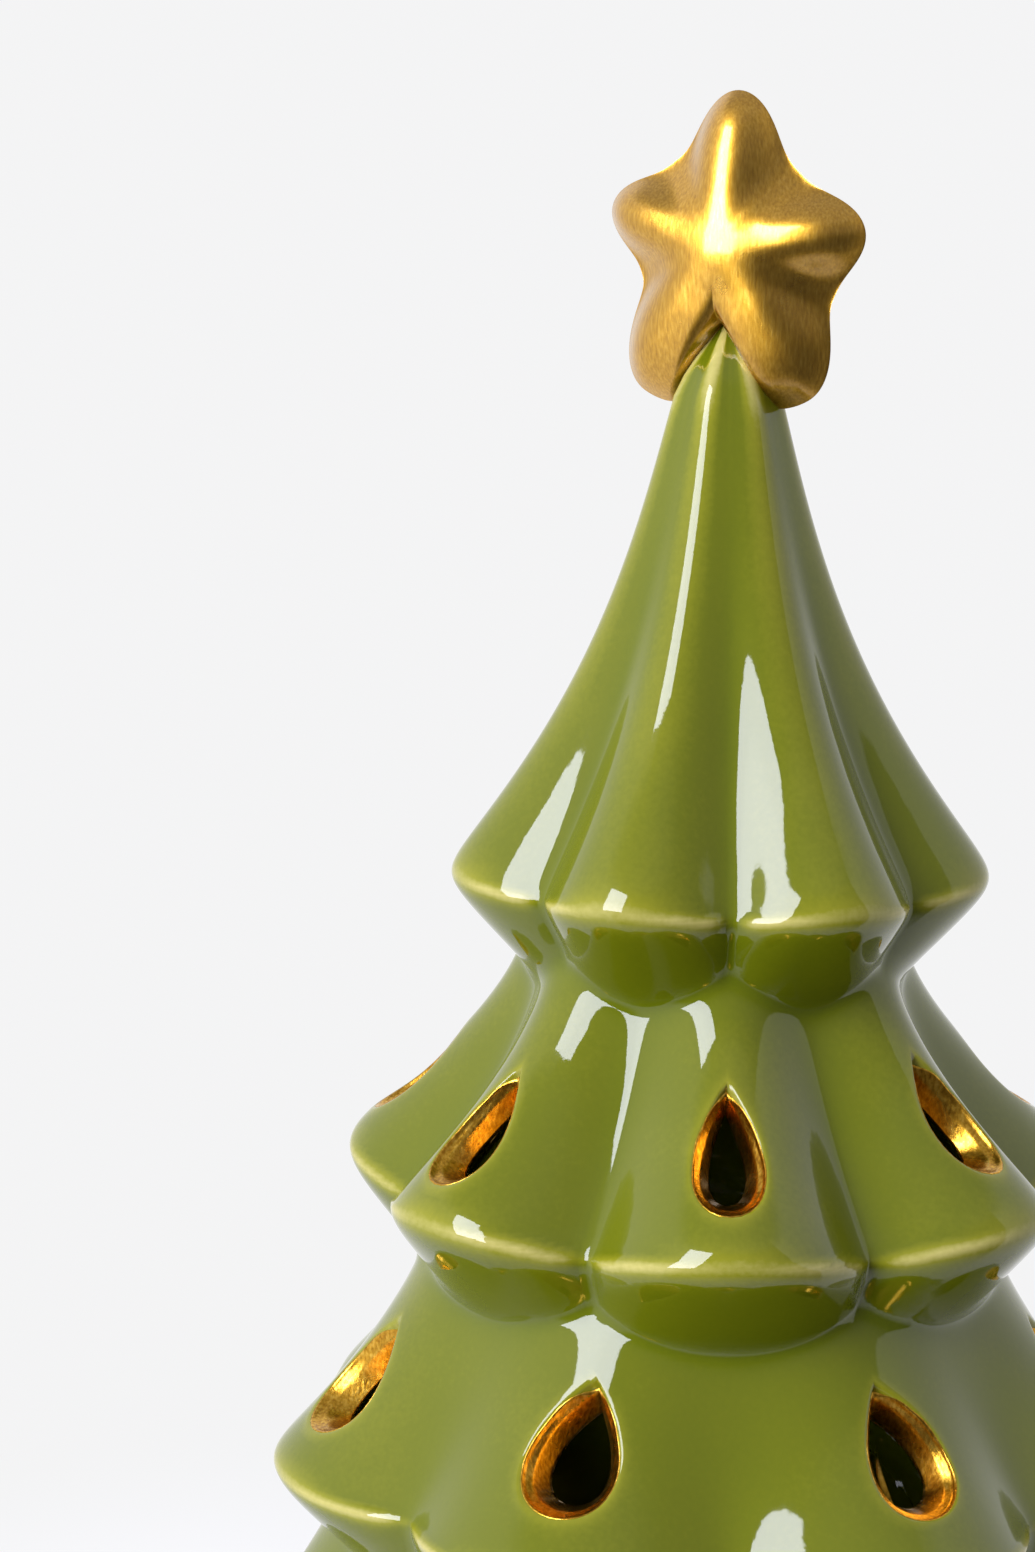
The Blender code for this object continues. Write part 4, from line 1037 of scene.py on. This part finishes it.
# Node group: how bright the room is in a direction from the tree, as a share of PALE
room_brightness, nodes, given, result = new_group(
    "room_brightness", [("Toward", "Vector", (0, 0, 0))], ["Value"])
toward = put(nodes, "ShaderNodeSeparateXYZ", Vector=given["Toward"]).outputs
azimuth = maths(nodes, "ARCTAN2", toward["X"], maths(nodes, "MULTIPLY", toward["Y"], -1.0))
dim = mapped(nodes, toward["Z"], DIM_RISE, DIM, SMOOTH)
left = mapped(nodes, azimuth, (DIM_FROM - 0.1, DIM_FROM + 0.1), (1.0, 0.0), SMOOTH)
right = mapped(nodes, azimuth, (DIM_TO, DIM_TO + 0.05), (0.0, 1.0), SMOOTH)
walls = mixed(nodes, right, mixed(nodes, left, dim, SCREEN), SCREEN)
high = mapped(nodes, toward["Z"], CEILING_RISE, (0.0, 1.0), SMOOTH)
fill(result["Value"], mixed(nodes, high, walls, CEILING))


def room_light(nodes, toward):
    """Strength of PALE light: 1 as the camera sees it, and the room's own in mirrored light."""
    path = nodes.new("ShaderNodeLightPath")
    room = put(nodes, "ShaderNodeGroup", node_tree=room_brightness, Toward=toward)
    return mixed(nodes, path.outputs["Is Camera Ray"], room.outputs["Value"], 1.0)


table, nodes, shader = new_material("pale_board", Roughness=0.9, Specular_IOR_Level=0.2,
                                    Base_Color=(*BOARD, 1.0))
where = nodes.new("ShaderNodeTexCoord").outputs["Object"]
away = put(nodes, "ShaderNodeVectorMath", operation="LENGTH", Vector=where).outputs["Value"]
glow = put(nodes, "ShaderNodeEmission", Color=(*PALE, 1.0), Strength=room_light(nodes, where))
blend = nodes.new("ShaderNodeMixShader")
fill(blend.inputs[0], mapped(nodes, away, BOARD_FADE, (0.0, 1.0), SMOOTH))
fill(blend.inputs[1], shader.outputs["BSDF"])
fill(blend.inputs[2], glow.outputs["Emission"])
feed(nodes["Material Output"], Surface=blend.outputs["Shader"])
board = [(0, -1), (4000, -1), (4000, 0), (800, 0), (200, 0), (60, 0), (0, 0)]
floor = add_mesh("table_board", *turned(board, 96), table)

world = bpy.data.worlds.new("studio")
bpy.context.scene.world = world
world.use_nodes = True
nodes = world.node_tree.nodes
sky = nodes.new("ShaderNodeTexCoord").outputs["Generated"]
feed(nodes["Background"], Color=(*PALE, 1.0), Strength=room_light(nodes, sky))

# The key light is one tall softbox at the left front, as bright as its mirror image shows it
KEY_AZIMUTH = math.radians(-18.0)
KEY_ELEVATION = math.radians(22.5)
KEY_DISTANCE = 1.2
KEY_SIZE = (0.56, 1.08)
KEY_RADIANCE = 13.6
KEY_AIM = Vector((0, 0, 0.12))

key = bpy.data.lights.new("key_softbox", "AREA")
key.shape = "RECTANGLE"
key.size, key.size_y = KEY_SIZE
key.energy = KEY_RADIANCE * math.pi * KEY_SIZE[0] * KEY_SIZE[1]
key.color = (0.84, 0.86, 1.0)
outward = Vector((math.sin(KEY_AZIMUTH) * math.cos(KEY_ELEVATION),
                  -math.cos(KEY_AZIMUTH) * math.cos(KEY_ELEVATION), math.sin(KEY_ELEVATION)))
key_turn = outward.to_track_quat("Z", "Y").to_matrix().to_4x4()
key_lamp = add_object("key_softbox", key)
key_lamp.matrix_world = Matrix.Translation(KEY_AIM + outward * KEY_DISTANCE) @ key_turn

# The camera stands as the photograph's did, a little above the tree and to its right.
CAMERA_DISTANCE = 3631.0
CAMERA_TILT = math.radians(9.59)
CAMERA_SIDE = -201.8
CAMERA_ROLL = math.radians(0.7)
CAMERA_ROUND = math.radians(25.07)
PIXEL = 0.12 * MM
PHOTO_HEIGHT = 1552
AIM_HEIGHT = 1030
SENSOR = 36.0

optics = bpy.data.cameras.new("photo_camera")
optics.sensor_fit = "VERTICAL"
optics.sensor_height = SENSOR
optics.sensor_width = SENSOR
optics.lens = CAMERA_DISTANCE * SENSOR / PHOTO_HEIGHT
optics.clip_start, optics.clip_end = 0.01, 20.0
optics.shift_x = CAMERA_SIDE * (1 - math.cos(CAMERA_ROLL)) / PHOTO_HEIGHT
optics.shift_y = -CAMERA_SIDE * math.sin(CAMERA_ROLL) / PHOTO_HEIGHT
camera = add_object("photo_camera", optics)
middle_height = AIM_HEIGHT * PIXEL + TREE_FOOT * MM
stand = Vector((CAMERA_SIDE, -CAMERA_DISTANCE * math.cos(CAMERA_TILT),
                CAMERA_DISTANCE * math.sin(CAMERA_TILT))) * PIXEL + Vector((0, 0, middle_height))
ahead = Vector((0, math.cos(CAMERA_TILT), -math.sin(CAMERA_TILT)))
right = Vector((1, 0, 0))
facing = Matrix((right, right.cross(ahead), -ahead)).transposed().to_4x4()
camera.matrix_world = (Matrix.Rotation(CAMERA_ROUND, 4, "Z") @ Matrix.Translation(stand) @ facing
                       @ Matrix.Rotation(CAMERA_ROLL, 4, "Z"))
bpy.context.scene.camera = camera

bpy.context.scene.view_settings.view_transform = "Standard"
